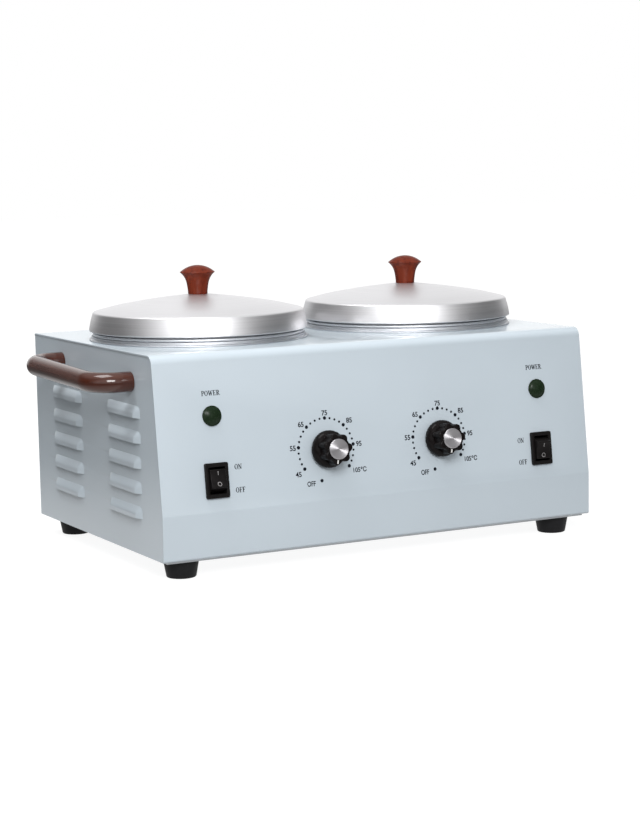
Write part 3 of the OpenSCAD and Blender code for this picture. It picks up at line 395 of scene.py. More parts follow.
spun_aluminium = spun("spun_aluminium", (0.79, 0.785, 0.80), 0.40, 0.46, 2500, 0.12, 3e-6)
drawn_aluminium = spun("drawn_aluminium", (0.72, 0.73, 0.75), 0.42, 0.50, 900, 0.2, 2e-6)
# The collars' aluminium is a darker, slightly bluer copy of the drawn aluminium: painted shade for the dim
# light under the lids' edges.
ring_aluminium = spun("ring_aluminium", (0.57, 0.585, 0.615), 0.42, 0.50, 900, 0.2, 2e-6)
bright_aluminium = spun("bright_aluminium", (0.58, 0.565, 0.585), 0.46, 0.54, 5000, 0.95)
print("four kinds of turned aluminium")

# %% [markdown]
# The wood has a red-brown stain under clear lacquer, thick on the handles and thin on the lids' knobs. On
# the handles the same wood is made about half as light as on the knobs: painted shade for the dim light on
# the case's sides. Its grain is noise stretched along the length of the timber: along the map of the bent
# rod, and along the z axis of the turned knobs. Dark pores and a slow change of tone lie over one another.

# %% Lacquered wood
def wood(name, source, stretch, scale, stain_and_shade, lacquer):
    """Wood whose tones are multiplied by a colour that holds the stain, and on the handles painted shade as
    well, under that much lacquer.
    """
    finish, shader = new_finish(name, 0.45, Specular_IOR_Level=0.05, Coat_Weight=lacquer,
                                Coat_Roughness=0.08)
    grain = pattern(finish, scale, 6.0, stretch, source, 0.62)
    tone = pattern(finish, scale * 0.22, 2.0, stretch, source)
    tones = [(0.30, (0.40, 0.34, 0.32)), (0.47, (0.85, 0.80, 0.80)),
             (0.62, (1.05, 1.10, 1.10)), (0.80, (1.35, 1.6, 1.6))]
    dark = blended(finish, grain, [(place, np.multiply(stain_and_shade, c)) for place, c in tones])
    light = blended(finish, grain, [(place, 1.3 * np.multiply(stain_and_shade, c)) for place, c in tones])
    mix = node(finish, "ShaderNodeMix", {"Factor": tone, "A": dark, "B": light}, data_type="RGBA")
    link(finish, mix.outputs["Result"], shader, "Base Color")
    bumped(finish, shader, grain, 1.5e-5)
    return finish


# The handles' colour is about half as light as the knobs' for the same wood: painted shade.
rod_wood = wood("handle_wood", "UV", (9.0, 12.0, 1.0), 1.0, (0.060, 0.0155, 0.008), 1.0)
knob_wood = wood("lid_knob_wood", "Object", (1.0, 1.0, 0.12), 420.0, (0.128, 0.0195, 0.0075), 0.12)
print("stained wood for the handles and the knobs")

# %% [markdown]
# The rest are plain finishes: moulded black plastic with a faint grain, matt rubber, zinc
# on screws, copper tubes, felt, pale plastic, plated sheet and the heater's tinted steel.
# The wells' aluminium is one of them, because they keep the model's own shape, which has no
# map for rings to follow.

# %% Plastic, rubber, steel and the other plain finishes
black_plastic = simple_finish("black_plastic", (0.0085, 0.0074, 0.0074), 0.30, 0.42, 300, 6e-6, 0.2,
                              Specular_IOR_Level=0.1)
knob_plastic = simple_finish("knob_plastic", (0.0065, 0.0050, 0.0050), 0.40, 0.50, 240, 3e-6, 0.2,
                             Specular_IOR_Level=0.03, Coat_Weight=0.12, Coat_Roughness=0.05)
foot_rubber = simple_finish("foot_rubber", (0.009, 0.009, 0.010), 0.50, 0.62, 260, 1.5e-5, 0.25,
                            Specular_IOR_Level=0.15)
well_aluminium = simple_finish("well_aluminium", (0.70, 0.71, 0.73), 0.32, 0.44, 40, 3e-6, 0.06,
                               stretch=(1, 1, 14), metallic=1.0)
zinc = simple_finish("zinc_plated_steel", (0.60, 0.61, 0.60), 0.28, 0.40, 500, 4e-6, 0.08, metallic=1.0)
base_steel = simple_finish("base_steel", (0.36, 0.38, 0.40), 0.34, 0.46, 60, 4e-6, 0.08,
                           stretch=(1, 12, 1), metallic=1.0)
heater_steel = simple_finish("heater_steel", (0.50, 0.44, 0.36), 0.35, 0.5, 40, 4e-6, 0.25, metallic=1.0)
copper = simple_finish("copper", (0.70, 0.36, 0.22), 0.25, 0.4, 300, 3e-6, 0.12, metallic=1.0)
felt = simple_finish("felt", (0.74, 0.70, 0.60), 0.85, 0.98, 700, 2.5e-4, 0.1)
pale_plastic = simple_finish("pale_plastic", (0.78, 0.74, 0.64), 0.42, 0.55, 300, 6e-6, 0.04)
print(len(bpy.data.materials), "finishes")

# %% [markdown]
# The cover is one sheet. It is folded under at the foot, rises upright, leans back, bends
# over into the top and is folded down at the back. The path of that fold is carried by a
# thin rounded strip across the width, so the front and the top really are one surface. The
# strip is a little narrower at the two lips, which lie between the side panels.

# %% Cover with its bends
LIP_HALF = HALF_W - 1.7
FRONT_LIP, BACK_LIP = 10, 12
FOLD_R, FOOT_BEND, TOP_BEND = 1.6, 12, 6
PATH = rounded([[FRONT_LIP, 0], [0, 0], [0, FOOT_H], [SETBACK, HEIGHT], [DEPTH, HEIGHT],
                [DEPTH, HEIGHT - BACK_LIP]],
               [0, FOLD_R, FOOT_BEND, TOP_BEND, FOLD_R, 0], steps=12, closed=False)


def bent_sheet(path, half_widths, thickness):
    """Strip of sheet that follows a side view (y, z), as wide at each station as half_widths
    says, with its thickness to the right of the way it runs."""
    out = offsets(path)
    strip = rounded([[-1, 0], [1, 0], [1, thickness], [-1, thickness]], 0.25, steps=3)
    side, depth = np.sign(strip[:, 0]), strip[:, 1]
    inset = 1 - np.abs(strip[:, 0])
    rows = [np.stack([side * (w - inset), y - depth * oy, z - depth * oz], 1)
            for (y, z), (oy, oz), w in zip(path, out, half_widths)]
    return capped(placed(np.array(rows), case_frame()))


on_front_lip = (PATH[:, 0] > 1.5) & (PATH[:, 1] < 0.1)
on_back_lip = (PATH[:, 1] < HEIGHT - 1.5) & (PATH[:, 0] > DEPTH - 0.1)
half_widths = np.where(on_front_lip | on_back_lip, LIP_HALF, HALF_W)
cover = piece("case_cover", bent_sheet(PATH, half_widths, SHEET), enamel, node="cover")
print("cover", len(cover.data.polygons), "faces along", len(PATH), "stations")

# %% [markdown]
# The real sheet is punched flat and then bent. Here it is simpler to cut the openings out
# of the bent one: two large rounds for the wells, two small ones for the lamps, two for the
# dials' bushings, two rectangles for the switches, and six holes for screws. A Boolean
# modifier subtracts plugs of those shapes.

# %% Openings punched in the cover
def drum(radius, low, high, here, around=64):
    """Closed drum between two heights of a frame."""
    return turned(np.array([[0, low], [radius, low], [radius, high], [0, high]]), here, around=around)


def block(half_x, half_y, low, high, here):
    """Closed block between two heights of a frame, with a rectangular outline."""
    outline = rectangle(half_x, half_y, 0.0)
    rows = np.array([np.c_[outline, np.full(len(outline), z)] for z in (low, high)])
    return capped(placed(rows, here))


def punched(obj, plugs):
    """Subtracts closed plugs from a piece."""
    tool = piece("plugs", plugs, enamel)
    cut = obj.modifiers.new("openings", "BOOLEAN")
    cut.operation, cut.solver, cut.object = "DIFFERENCE", "EXACT", tool
    settled(obj)
    bpy.data.objects.remove(tool)
    return obj


SWITCH_X, SWITCH_V, LAMP_V = HALF_W - 36.2, 18.8, 57.0
DIAL_X, DIAL_V = 40.0, 31.1
WELL_HOLE, LAMP_HOLE, BUSHING_HOLE, SCREW_HOLE = 63.8, 5.2, 4.6, 1.5
SWITCH_HOLE = (6.6, 9.6)
BACK_SCREW_X, BACK_SCREW_Z = 123.4, 114.4
LIP_SCREW_X, LIP_SCREW_Y = 84.8, 6
ACROSS_X = Matrix.Rotation(math.pi / 2, 4, "X")
THROUGH = 3
plugs = []
for s, _ in SIDES:
    plugs += [drum(WELL_HOLE, HEIGHT - THROUGH, HEIGHT + THROUGH, case_frame(s * POT_X, POT_Y), 192),
              drum(LAMP_HOLE, -THROUGH, THROUGH, front_frame(s * SWITCH_X, LAMP_V)),
              drum(BUSHING_HOLE, -THROUGH, THROUGH, front_frame(s * DIAL_X, DIAL_V))]
    plugs += block(*SWITCH_HOLE, -THROUGH, THROUGH, front_frame(s * SWITCH_X, SWITCH_V))
for k in (-1, 0, 1):
    screw = case_frame(k * BACK_SCREW_X, DEPTH, BACK_SCREW_Z) @ ACROSS_X
    plugs.append(drum(SCREW_HOLE, -THROUGH, THROUGH, screw, 24))
for k in (-1, 0, 1):
    screw = case_frame(k * LIP_SCREW_X, LIP_SCREW_Y, 0)
    plugs.append(drum(SCREW_HOLE, -THROUGH, THROUGH, screw, 24))
punched(cover, plugs)
print("punched cover", len(cover.data.polygons), "faces")

# %% [markdown]
# A side panel is a height field: how far the sheet stands out at each place of a (y, z)
# grid. It is flat but for ten louvers. Each louver is a hood with rounded ends that rises
# to its lip, and the sheet is slit along the lip. So the grid is built in strips between
# the slits, and neighbouring strips share points only where the sheet is whole. A Solidify
# modifier then gives the sheet its thickness. The front edge follows the bent cover.

# %% Side panels with louvers
FACE_X = HALF_W - 0.4
LOUVER_L, LOUVER_H, LOUVER_OUT, LOUVER_PITCH, LOUVER_LOW = 50.0, 7.2, 2.4, 15.1, 22.0
LOUVER_END, LOUVER_LIP, LOUVER_SLOPE = 6, 2.4, 5.6
LOUVER_Y = (DEPTH / 2 - 46, DEPTH / 2 + 46)
BEND_Z = HEIGHT - TOP_BEND
BEND_Y = (BEND_Z - FOOT_H) * math.tan(LEAN) + TOP_BEND / math.cos(LEAN)
INNER_BEND = TOP_BEND - SHEET
PANEL_TOP = HEIGHT - SHEET


def front_edge(z):
    """Where the panel begins at height z, one sheet behind the front and round the bend."""
    upright = np.full_like(z, SHEET)
    leaning = (z - FOOT_H) * math.tan(LEAN) + SHEET / math.cos(LEAN)
    bend = BEND_Y - np.sqrt(np.maximum(INNER_BEND ** 2 - np.maximum(z - BEND_Z, 0) ** 2, 0))
    bend_start = BEND_Z + 0.57
    return np.where(z > bend_start, bend, np.maximum(upright, leaning))


def hood(y, z, lip):
    """How far the sheet stands out in the louvers above one lip. It falls off over the last
    few millimetres at both ends and, more roundly, from the lip's top to the hood's."""
    near = np.minimum(*[np.abs(y - c) for c in LOUVER_Y])
    end = np.clip(1 - (LOUVER_L / 2 - near) / LOUVER_SLOPE, 0, None)
    over = np.clip((z - lip - LOUVER_LIP) / (LOUVER_H - LOUVER_LIP), 0, None) ** 1.6
    return LOUVER_OUT * np.clip(1 - (end ** 2.2 + over ** 2.2) ** (1 / 2.2), 0, 1)


def panel_skin(side):
    """Strips of the panel's outer face, from one slit to the next."""
    far_end = LOUVER_L - LOUVER_END
    along = np.concatenate([np.linspace(0, LOUVER_END, 13), np.linspace(LOUVER_END, far_end, 9)[1:-1],
                            np.linspace(far_end, LOUVER_L, 13)]) - LOUVER_L / 2
    ys = np.concatenate([LOUVER_Y[0] + along, [100], LOUVER_Y[1] + along, [187, DEPTH]])
    lips = [LOUVER_LOW + LOUVER_PITCH * i for i in range(5)]
    strips = []
    for low, high in zip([0] + lips, lips + [PANEL_TOP]):
        bottom = np.linspace(low, low + LOUVER_H, 15) if low else np.array([0.0, 8, 16])
        if high < PANEL_TOP:
            rest = np.linspace(bottom[-1], high, 5)[1:]
        else:
            bend = BEND_Z + INNER_BEND * np.sin(np.linspace(0, math.pi / 2, 13))
            rest = np.concatenate([np.linspace(bottom[-1], BEND_Z, 9)[1:], bend[1:]])
        z = np.concatenate([bottom, rest])
        y = np.array([np.concatenate([np.linspace(f, ys[0], 7)[:-1], ys]) for f in front_edge(z)])
        zz = z[:, None] + 0 * y
        x = FACE_X + (hood(y, zz, low) if low else 0 * y)
        strips.append(grid(placed(np.stack([side * x, y, zz], -1), case_frame())))
    return strips


def side_panel(side, name):
    """Panel on one side: its skin, turned to face outwards, and then the sheet's thickness."""
    panel = piece(name, panel_skin(side), enamel, node=f"{name.split('_')[0]}_side_panel",
                  sharp=18)
    centre = Vector(placed([side * FACE_X, 5, 5], case_frame()))
    facing = min(panel.data.polygons, key=lambda p: (p.center - centre).length).normal.x * side
    if facing < 0:
        panel.data.flip_normals()
    thick = panel.modifiers.new("sheet", "SOLIDIFY")
    thick.thickness, thick.offset = SHEET * MM, -1
    return settled(panel, 18)


panels = [side_panel(s, f"{name}_panel") for s, name in SIDES]
print("side panel", len(panels[0].data.polygons), "faces")

# %% [markdown]
# Each handle is a wooden rod, steamed and bent twice. A circle is carried along the bent
# path, standing square to it. The path is flat, so the circle's own axes are simply the
# path's normal and the direction out of its plane. At each foot the rod is bored for the
# screw, and its edge is eased.

# %% Wooden handles
def rod(path, radii, steps, here, around=48):
    """Round rod along a flat path, square to its steps; the radius may shrink to zero at both ends."""
    a = np.linspace(0, 2 * math.pi, around, endpoint=False)
    steps = steps / np.linalg.norm(steps, axis=1)[:, None]
    normal = np.stack([-steps[:, 1], steps[:, 0]], 1)
    flat = path[:, None] + (radii[:, None] * np.cos(a))[..., None] * normal[:, None]
    points = np.concatenate([flat, (radii[:, None] * np.sin(a))[..., None]], 2)
    return grid(placed(points, here), wrap_v=True)


ROD_R, REACH, SPAN, ROD_BEND = 6.2, 22.0, 112.0, 15
HANDLE_Y, HANDLE_Z, HANDLE_LEAN = DEPTH / 2 - 2.8, HEIGHT - 16.3, math.radians(1.4)
corners = [[0.5, -SPAN / 2], [REACH, -SPAN / 2], [REACH, SPAN / 2], [0.5, SPAN / 2]]
bends = rounded(corners, [0, ROD_BEND, ROD_BEND, 0], 20, False)
middle = np.linspace(0, 1, 30)[1:-1, None]
turn = len(bends) // 2
bends = np.concatenate([bends[:turn], bends[turn - 1] * (1 - middle) + bends[turn] * middle, bends[turn:]])
bore = np.array([[12, 0], [12, 2.05], [0, 2.05], [0, 5.7], [0.15, 6.05]])
ends = [np.c_[bore[:, 0], np.full(len(bore), y)] for y in (-SPAN / 2, SPAN / 2)]
handle_path = np.concatenate([ends[0], bends, ends[1][::-1]])
handle_radii = np.concatenate([bore[:, 1], np.full(len(bends), ROD_R), bore[::-1, 1]])
out, back_in = [np.tile([way, 0], (len(bore), 1)) for way in (1.0, -1.0)]
handle_steps = np.concatenate([out, np.gradient(bends, axis=0), back_in])
for s, name in SIDES:
    here = case_frame(0, HANDLE_Y, HANDLE_Z) @ Matrix.Rotation(HANDLE_LEAN, 4, "X")
    mirror = Matrix.Diagonal((s, 1, 1, 1)) @ Matrix.Translation((FACE_X, 0, 0))
    piece(f"{name}_rod_handle", [rod(handle_path, handle_radii, handle_steps, here @ mirror)], rod_wood,
          node=f"{name}_handle")
print("handles", len(handle_path), "stations")

# %% [markdown]
# Collars, pots and lids are spun or drawn from sheet, so each is one profile turned round
# the axis of its well. The profile runs round the whole thickness of the sheet, with small
# arcs at its corners. It closes on itself or starts and ends on the axis, so the body is
# closed. A lid rises in a slight dome, and its edge hangs a little above the pot's rolled
# rim, which shows as a dark line.

# %% Collars, pots and lids
COLLAR = rounded([[63.6, 1.1], [66.3, 1.1], [66.3, 0], [69.3, 0],
                  [69.3, 0.8], [68.0, 1.3], [68.0, 2.8], [63.6, 2.8]],
                 [0.1, 0.1, 0.1, 0.3, 0.3, 0.4, 0.5, 0.3], 5)
ROLL_R, ROLL_Z, ROLL_THICK = 66.35, 124.8, 0.95
roll = np.radians(np.linspace(-70, 175, 22))
POT_OUTSIDE = rounded([[0, 39.8], [57.5, 39.8], [61.5, 44.0], [61.5, 123.8], [66.1, 123.8]],
                      [0, 5, 5, 0.6, 0], 8, False)
POT_ROLL = np.c_[ROLL_R + ROLL_THICK * np.cos(roll), ROLL_Z + ROLL_THICK * np.sin(roll)]
POT_INSIDE = rounded([[64.9, 125.0], [60.3, 125.0], [60.3, 44.6], [56.9, 41.0], [0, 41.0]],
                     [0, 0.6, 4, 4, 0], 8, False)
POT = np.concatenate([POT_OUTSIDE, POT_ROLL, POT_INSIDE])
LID_TOP = 148.6
LID = rounded([[2.2, LID_TOP], [7.2, LID_TOP], [30.0, 145.8], [52.0, 142.2], [66.7, 138.6], [68.45, 132.6],
               [69.5, 126.8], [59.8, 126.8], [59.8, 121.5], [58.6, 121.5], [58.6, 128.0], [68.1, 128.0],
               [67.2, 132.4], [65.5, 137.4], [51.7, 141.0], [30.0, 144.6], [7.2, 147.4], [2.2, 147.4]],
              [0.2, 3, 330, 130, 1.7, 30, 0.5, 0.8, 0.4, 0.4, 0.8, 0.4, 30, 0.8, 130, 330, 3, 0.2], 8)
for s, name in SIDES:
    here = case_frame(s * POT_X, POT_Y)
    piece(f"{name}_ring", [turned(COLLAR, here @ Matrix.Translation((0, 0, HEIGHT)), True, 192)],
          ring_aluminium, node=f"{name}_collar")
    piece(f"{name}_wax_pot", [turned(POT, here, around=192)], drawn_aluminium, f"{name}_pot",
          f"{name}_pot")
    piece(f"{name}_cover_lid", [turned(LID, here, True, 192)], spun_aluminium, f"{name}_lid",
          f"{name}_lid")
print("lid profile", len(LID), "points, pot profile", len(POT))

# %% [markdown]
# The knob of a lid is turned from the same wood as the handles. Its waist widens slowly at
# first and flares at the end, a straight term plus a fourth power. The top is a low dome,
# an arc of a large circle.

# %% Lid knobs
WAIST_R, FLARE, EDGE_Z, KNOB_TALL, SCREW_BORE = 6.2, 4.9, 14.1, 18.3, 2.05
t = np.linspace(0, 1, 25)
flare = np.c_[WAIST_R + FLARE * (0.3 * t + 0.7 * t ** 4), EDGE_Z * (0.12 + 0.88 * t) - 0.3 * t]
top = dome(10.8, 4.2, KNOB_TALL, 22)
turn = np.linspace(0, 1, 6)[1:-1, None]
pull = np.array([WAIST_R + FLARE, EDGE_Z])
edge = (1 - turn) ** 2 * flare[-1] + 2 * turn * (1 - turn) * pull + turn ** 2 * top[1]
under = [[0, 11], [SCREW_BORE, 11], [SCREW_BORE, 0], [5.9, 0], [WAIST_R, 0.3]]
LID_KNOB = np.concatenate([under, flare, edge, top[1:]])
for s, name in SIDES:
    piece(f"{name}_turned_knob", [turned(LID_KNOB, case_frame(s * POT_X, POT_Y, LID_TOP), around=96)],
          knob_wood, f"{name}_lid", f"{name}_lid_knob", sharp=50)
print("knob profile", len(LID_KNOB), "points")

# %% [markdown]
# The feet are moulded rubber cones with a hole sunk from below for the screw's head.

# %% Feet
FOOT_TALL = FLOOR_Z - SHEET
FOOT_IN_X, FOOT_IN_Y = 18.4, 16.5
FOOT = rounded([[4.5, 0], [8.9, 0], [10.9, FOOT_TALL], [2.2, FOOT_TALL], [2.2, FOOT_TALL * 0.62],
                [4.5, FOOT_TALL * 0.62]], [0.3, 0.9, 0.6, 0.1, 0.1, 0.1], 5)
for s, side in SIDES:
    for y, end in ((FOOT_IN_Y, "front"), (DEPTH - FOOT_IN_Y, "back")):
        here = case_frame(s * (HALF_W - FOOT_IN_X), y, -FLOOR_Z)
        piece(f"{end}_{side}_rubber", [turned(FOOT, here, True, 72)], foot_rubber,
              node=f"{end}_{side}_foot")
print("feet", round(FOOT_TALL, 1), "mm tall")

# %% [markdown]
# A switch is a stack of outlines: the body behind the panel, the frame in front of it, and
# then down inside, the opening for the rocker. Every outline has the same number of points,
# so the stack is one closed grid with a pole at each end.

# %% Switch frames
def stack(levels, here, steps=4):
    """Closed body from (half_x, half_y, corner, h) outlines, its first and last drawn in to a point."""
    rows = [np.c_[rectangle(x, y, r, steps), np.full(4 * steps + 4, h)] for x, y, r, h in levels]
    rows = np.array([rows[0] * [0, 0, 1]] + rows + [rows[-1] * [0, 0, 1]])
    return grid(placed(rows, here), wrap_v=True)


SWITCH = [(6.3, 9.3, 0.3, -12.5), (6.5, 9.5, 0.4, -12.3), (6.5, 9.5, 0.4, 0.0), (7.5, 10.5, 1.0, 0.0),
          (7.5, 10.5, 1.0, 1.55), (7.42, 10.42, 0.95, 1.82), (7.2, 10.2, 0.85, 1.98),
          (7.05, 10.05, 0.8, 2.0), (5.75, 8.35, 0.5, 2.0), (5.5, 8.1, 0.45, 1.9),
          (5.4, 8.0, 0.4, 1.65), (5.4, 8.0, 0.4, -10.5)]
PIVOT_H = -1.8
ACROSS_Y = Matrix.Rotation(math.pi / 2, 4, "Y")
for s, name in SIDES:
    here = front_frame(s * SWITCH_X, SWITCH_V)
    parts = [stack(SWITCH, here)]
    for y in (-4.5, 4.5):
        parts += block(2.4, 0.4, -19.5, -12.55, here @ Matrix.Translation((0, y, 0)))
    frame_piece = piece(f"{name}_switch_frame", parts, black_plastic, node=f"{name}_switch_housing")
    pin_hole = here @ Matrix.Translation((0, 0, PIVOT_H)) @ ACROSS_Y
    punched(frame_piece, [drum(1.08, -8, 8, pin_hole, 24)])
print("switch frame", len(frame_piece.data.polygons), "faces")

# %% [markdown]
# The rocker's side view has a hollow top, two shoulders and a shallow keel, with its pivot
# at the origin. Carried across the width it makes the rocker. Its two end rows are drawn in
# a little, which rounds the long edges. The left one is tipped to ON and the right to OFF.

# %% Rockers
def bar(outline, half, edge, here):
    """Body with that (y, z) outline from x = -half to half, its ends rounded by edge."""
    inwards = offsets(outline, closed=True)
    bend = np.linspace(0, math.pi / 2, 5)
    rows = [np.c_[np.full(len(outline), x), outline + inwards * inset]
            for x, inset in zip(-half + edge * (1 - np.cos(bend)), edge * (1 - np.sin(bend)))]
    rows += [row * [-1, 1, 1] for row in rows[::-1]]
    return capped(placed(np.array(rows), here))


TIP = math.radians(12)
ROCKER_HALF, ROCKER_TALL, HOLLOW = 6.7, 6.2, 0.8
BASE_Y = ROCKER_HALF / math.cos(TIP)
TOP_Y = BASE_Y - ROCKER_TALL * math.tan(TIP)
hollow = [[TOP_Y * k / 8, ROCKER_TALL - HOLLOW * (1 - (k / 8) ** 2)] for k in range(8, -9, -1)]
keel = [[-BASE_Y, 0], [-3, -3], [3, -3], [BASE_Y, 0]]
ROCKER = rounded(keel + hollow, [0.3, 1, 1, 0.3, 0.5] + [0] * 15 + [0.5], 5)
for s, name in SIDES:
    here = front_frame(s * SWITCH_X, SWITCH_V, PIVOT_H, s * TIP)
    parts = bar(ROCKER, 5.1, 0.35, here) + [drum(1.0, -6.3, 6.3, here @ ACROSS_Y, 24)]
    piece(f"{name}_rocker_key", parts, black_plastic, f"{name}_rocker", f"{name}_rocker")
print("rocker outline", len(ROCKER), "points")

# %% [markdown]
# The pilot lamps have a low dark green dome in a thin rim, and the barrel goes on behind
# the panel to two terminals.

# %% Pilot lamps
BARREL_R, RIM_R, RIM_H = 5.1, 6.1, 1.1
rim = rounded([[0, -20], [BARREL_R, -20], [BARREL_R, 0], [RIM_R, 0], [RIM_R, RIM_H], [5.45, RIM_H]],
              [0, 0.4, 0, 0.05, 0.45, 0], 5, False)
LAMP = np.concatenate([rim, dome(5.4, 1.6, 2.7, 14)])
lens = simple_finish("lamp_lens", (0.011, 0.022, 0.010), 0.2, 0.3, 900, 0.0, 0.25,
                     Specular_IOR_Level=0.12)
for s, name in SIDES:
    here = front_frame(s * SWITCH_X, LAMP_V)
    parts = [turned(LAMP, here, around=72)]
    for x in (-2.2, 2.2):
        parts += block(0.4, 1.2, -26, -20.05, here @ Matrix.Translation((x, 0, 0)))
    piece(f"{name}_lamp", parts, lens, node=f"{name}_pilot_lamp", sharp=40)
print("lamp profile", len(LAMP), "points")

# %% [markdown]
# A dial's knob has a round skirt that is domed in to seven lobes. Its radius depends on the
# angle and the height: the larger of the skirt's circle and the lobed outline, with a soft
# change between them. Lobes are circles on a ring, so a ray from the axis meets one at a
# distance that the cosine rule gives. Inside are a hollow for the nut and a flatted bore.

# %% Dial knobs
LOBES, LOBE_R, LOBE_RING, VALLEY_R = 7, 2.5, 7.3, 8.1
SKIRT_R, KNOB_TOP, CAP_SEAT, CAP_TOP = 11.4, 15.7, 14.6, 16.5
AROUND = 336


def softly_larger(a, b, sharpness):
    """The larger of two values with a soft change between them: the logarithm of the sum of
    e to sharpness times each, over sharpness."""
    return np.log(np.exp(sharpness * a) + np.exp(sharpness * b)) / sharpness


angle = np.linspace(0, 2 * math.pi, AROUND, endpoint=False)
gap = (angle - math.pi / 2 + math.pi / LOBES) % (2 * math.pi / LOBES) - math.pi / LOBES
reach = LOBE_R ** 2 - (LOBE_RING * np.sin(gap)) ** 2
lobe = np.where(reach > 0, LOBE_RING * np.cos(gap) + np.sqrt(np.maximum(reach, 0)), 0)
lobed = softly_larger(lobe, VALLEY_R, 4) - 0.02
flat = 2.25 / np.maximum(np.cos(angle - math.pi / 2), 0.1)


def knob_row(radius, h):
    """Ring of points at one height."""
    radius = np.broadcast_to(radius, AROUND)
    return np.stack([radius * np.cos(angle), radius * np.sin(angle), np.full(AROUND, float(h))], 1)


flatted = np.minimum(3.05, flat)
rows = [knob_row(0, 13.5), knob_row(flatted, 13.5), knob_row(flatted, 6.0), knob_row(7.2, 6.0),
        knob_row(7.2, 2.0), knob_row(11.0, 2.0), knob_row(11.3, 2.1), knob_row(SKIRT_R, 2.4)]
for k in np.linspace(0, 1, 15):
    skirt = SKIRT_R - 3.4 * (1 - math.cos(k * math.pi / 2))
    h = 3.8 + 3.6 * math.sin(k * math.pi / 2)
    rows.append(knob_row(softly_larger(skirt, lobed, 5) if k > 0.5 else skirt, h))
top_bevel = [(0, 14.6), (0.05, 14.95), (0.2, 15.25), (0.45, 15.5), (0.8, 15.65), (1.1, KNOB_TOP)]
rows += [knob_row(lobed, h) for h in (7.9, 8.6, 10, 12, 13.5)]
rows += [knob_row(lobed - inset, h) for inset, h in top_bevel]
rows += [knob_row(6.45, KNOB_TOP), knob_row(6.3, 15.55), knob_row(6.3, CAP_SEAT), knob_row(0, CAP_SEAT)]
KNOB = np.array(rows)
CAP = rounded([[0, CAP_SEAT], [6.2, CAP_SEAT], [6.2, CAP_TOP], [0, CAP_TOP]], [0, 0.1, 0.35, 0], 5, False)
CAP = np.concatenate([CAP[:-1], [[5.0, 16.46], [3.5, 16.43], [2.0, 16.41], [0.6, 16.4], [0, 16.4]]])
POINTER = math.radians(171)
for s, name in SIDES:
    here = front_frame(s * DIAL_X, DIAL_V, turn=POINTER)
    piece(f"{name}_dial_knob", [grid(placed(KNOB, here), wrap_v=True)], knob_plastic, f"{name}_knob",
          f"{name}_knob", sharp=40)
    piece(f"{name}_dial_cap", [turned(CAP, here, around=96)], bright_aluminium, f"{name}_knob",
          f"{name}_knob_cap")
print("knob", KNOB.shape[0], "rings of", AROUND, "points")

# %% [markdown]
# What lies behind or inside is shown as the model has it, and only gets its finish: the
# back and base, the wells with their heaters and felt, the controls, the wires' terminals
# and every screw. A thing that comes twice is listed once, and what isn't listed is zinc.

# %% Finishes of the inner parts
INSIDE = {
    "back_panel": (enamel, "housing_paint"), "base_plate": (base_steel, "base_steel"),
    "well": (well_aluminium, "drawn_aluminium"), "heater_band": (heater_steel, "heater_steel"),
    "insulation": (felt, "felt"), "thermal_cutout": (pale_plastic, "pale_plastic"),
    "terminal_block": (pale_plastic, "pale_plastic"), "power_inlet": (black_plastic, "black_plastic"),
    "temperature_control": (black_plastic, "black_plastic"),
    "temperature_sensors": (copper, "copper"), "capillary_tubes": (copper, "copper"),
}
shown = [name for name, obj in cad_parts.items() if not obj.hide_render]
for name in shown:
    thing = name.removeprefix("left_").removeprefix("right_")
    finish, slot_name = INSIDE.get(thing, (zinc, "screw_steel"))
    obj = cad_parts[name]
    obj.data.materials.clear()
    obj.data.materials.append(finish)
print(len(shown), "nodes keep their own shape")

# %% [markdown]
# The marks on the panel are printed in dark ink. They are thin raised shapes, a few
# hundredths of a millimetre thick, which is enough to hold them clear of the enamel. The
# plain figures come from Blender's own font, made narrower. The small words have a serif,
# so their letters are drawn as strokes with short bars at the ends.

# %% Ink and thin printed shapes
ink = simple_finish("printing_ink", (0.008, 0.010, 0.016), 0.5, 0.6, 800, 0.0, 0.2, Specular_IOR_Level=0.1)
white_ink = simple_finish("pointer_paint", (0.74, 0.74, 0.72), 0.42, 0.5, 800, 0.0, 0.05)
grey_ink = simple_finish("marking_paint", (0.33, 0.32, 0.32), 0.42, 0.5, 800, 0.0, 0.05)
INK_LOW, INK_TOP = 0.01, 0.05


def dot(x, y, radius, here, around=28):
    """Round printed dot."""
    return drum(radius, INK_LOW, INK_TOP, here @ Matrix.Translation((x, y, 0)), around)


def stroke(start, end, width, here):
    """Straight printed line of that width."""
    a, b = np.array(start, float), np.array(end, float)
    along = (b - a) / np.linalg.norm(b - a)
    side = np.array([-along[1], along[0]]) / 2
    outline = np.array([a - side * width, b - side * width, b + side * width, a + side * width])
    rows = np.array([np.c_[outline, np.full(4, h)] for h in (INK_LOW, INK_TOP)])
    return capped(placed(rows, here))


def ring(x, y, half_x, half_y, thin, thick, here, start=0.0, end=360.0, around=40):
    """Printed oval or part of one, thick at its sides and thin at its top and bottom."""
    whole = end - start >= 360
    a = np.radians(np.linspace(start, end, around, endpoint=not whole))
    width = thin + (thick - thin) * np.cos(a) ** 2
    edge = [(-0.5, INK_LOW), (-0.5, INK_TOP), (0.5, INK_TOP), (0.5, INK_LOW)]
    rows = np.stack([np.stack([x + (half_x + k * width) * np.cos(a), y + (half_y + k * width) * np.sin(a),
                               np.full(len(a), h)], 1) for k, h in edge], 1)
    rows = placed(rows, here)
    return [grid(rows, True, True)] if whole else capped(rows)


print("ink", INK_TOP - INK_LOW, "mm thick")

# %% [markdown]
# The serif letters are drawn in a box one unit high. Each letter has its width, then its
# straight lines and then its bows, and a word is set by stepping along by those widths.

# %% Small serif words
THICK, THIN = 0.190, 0.080
BAR = 0.17
BOTTOM, TOP = 0.03, 0.97


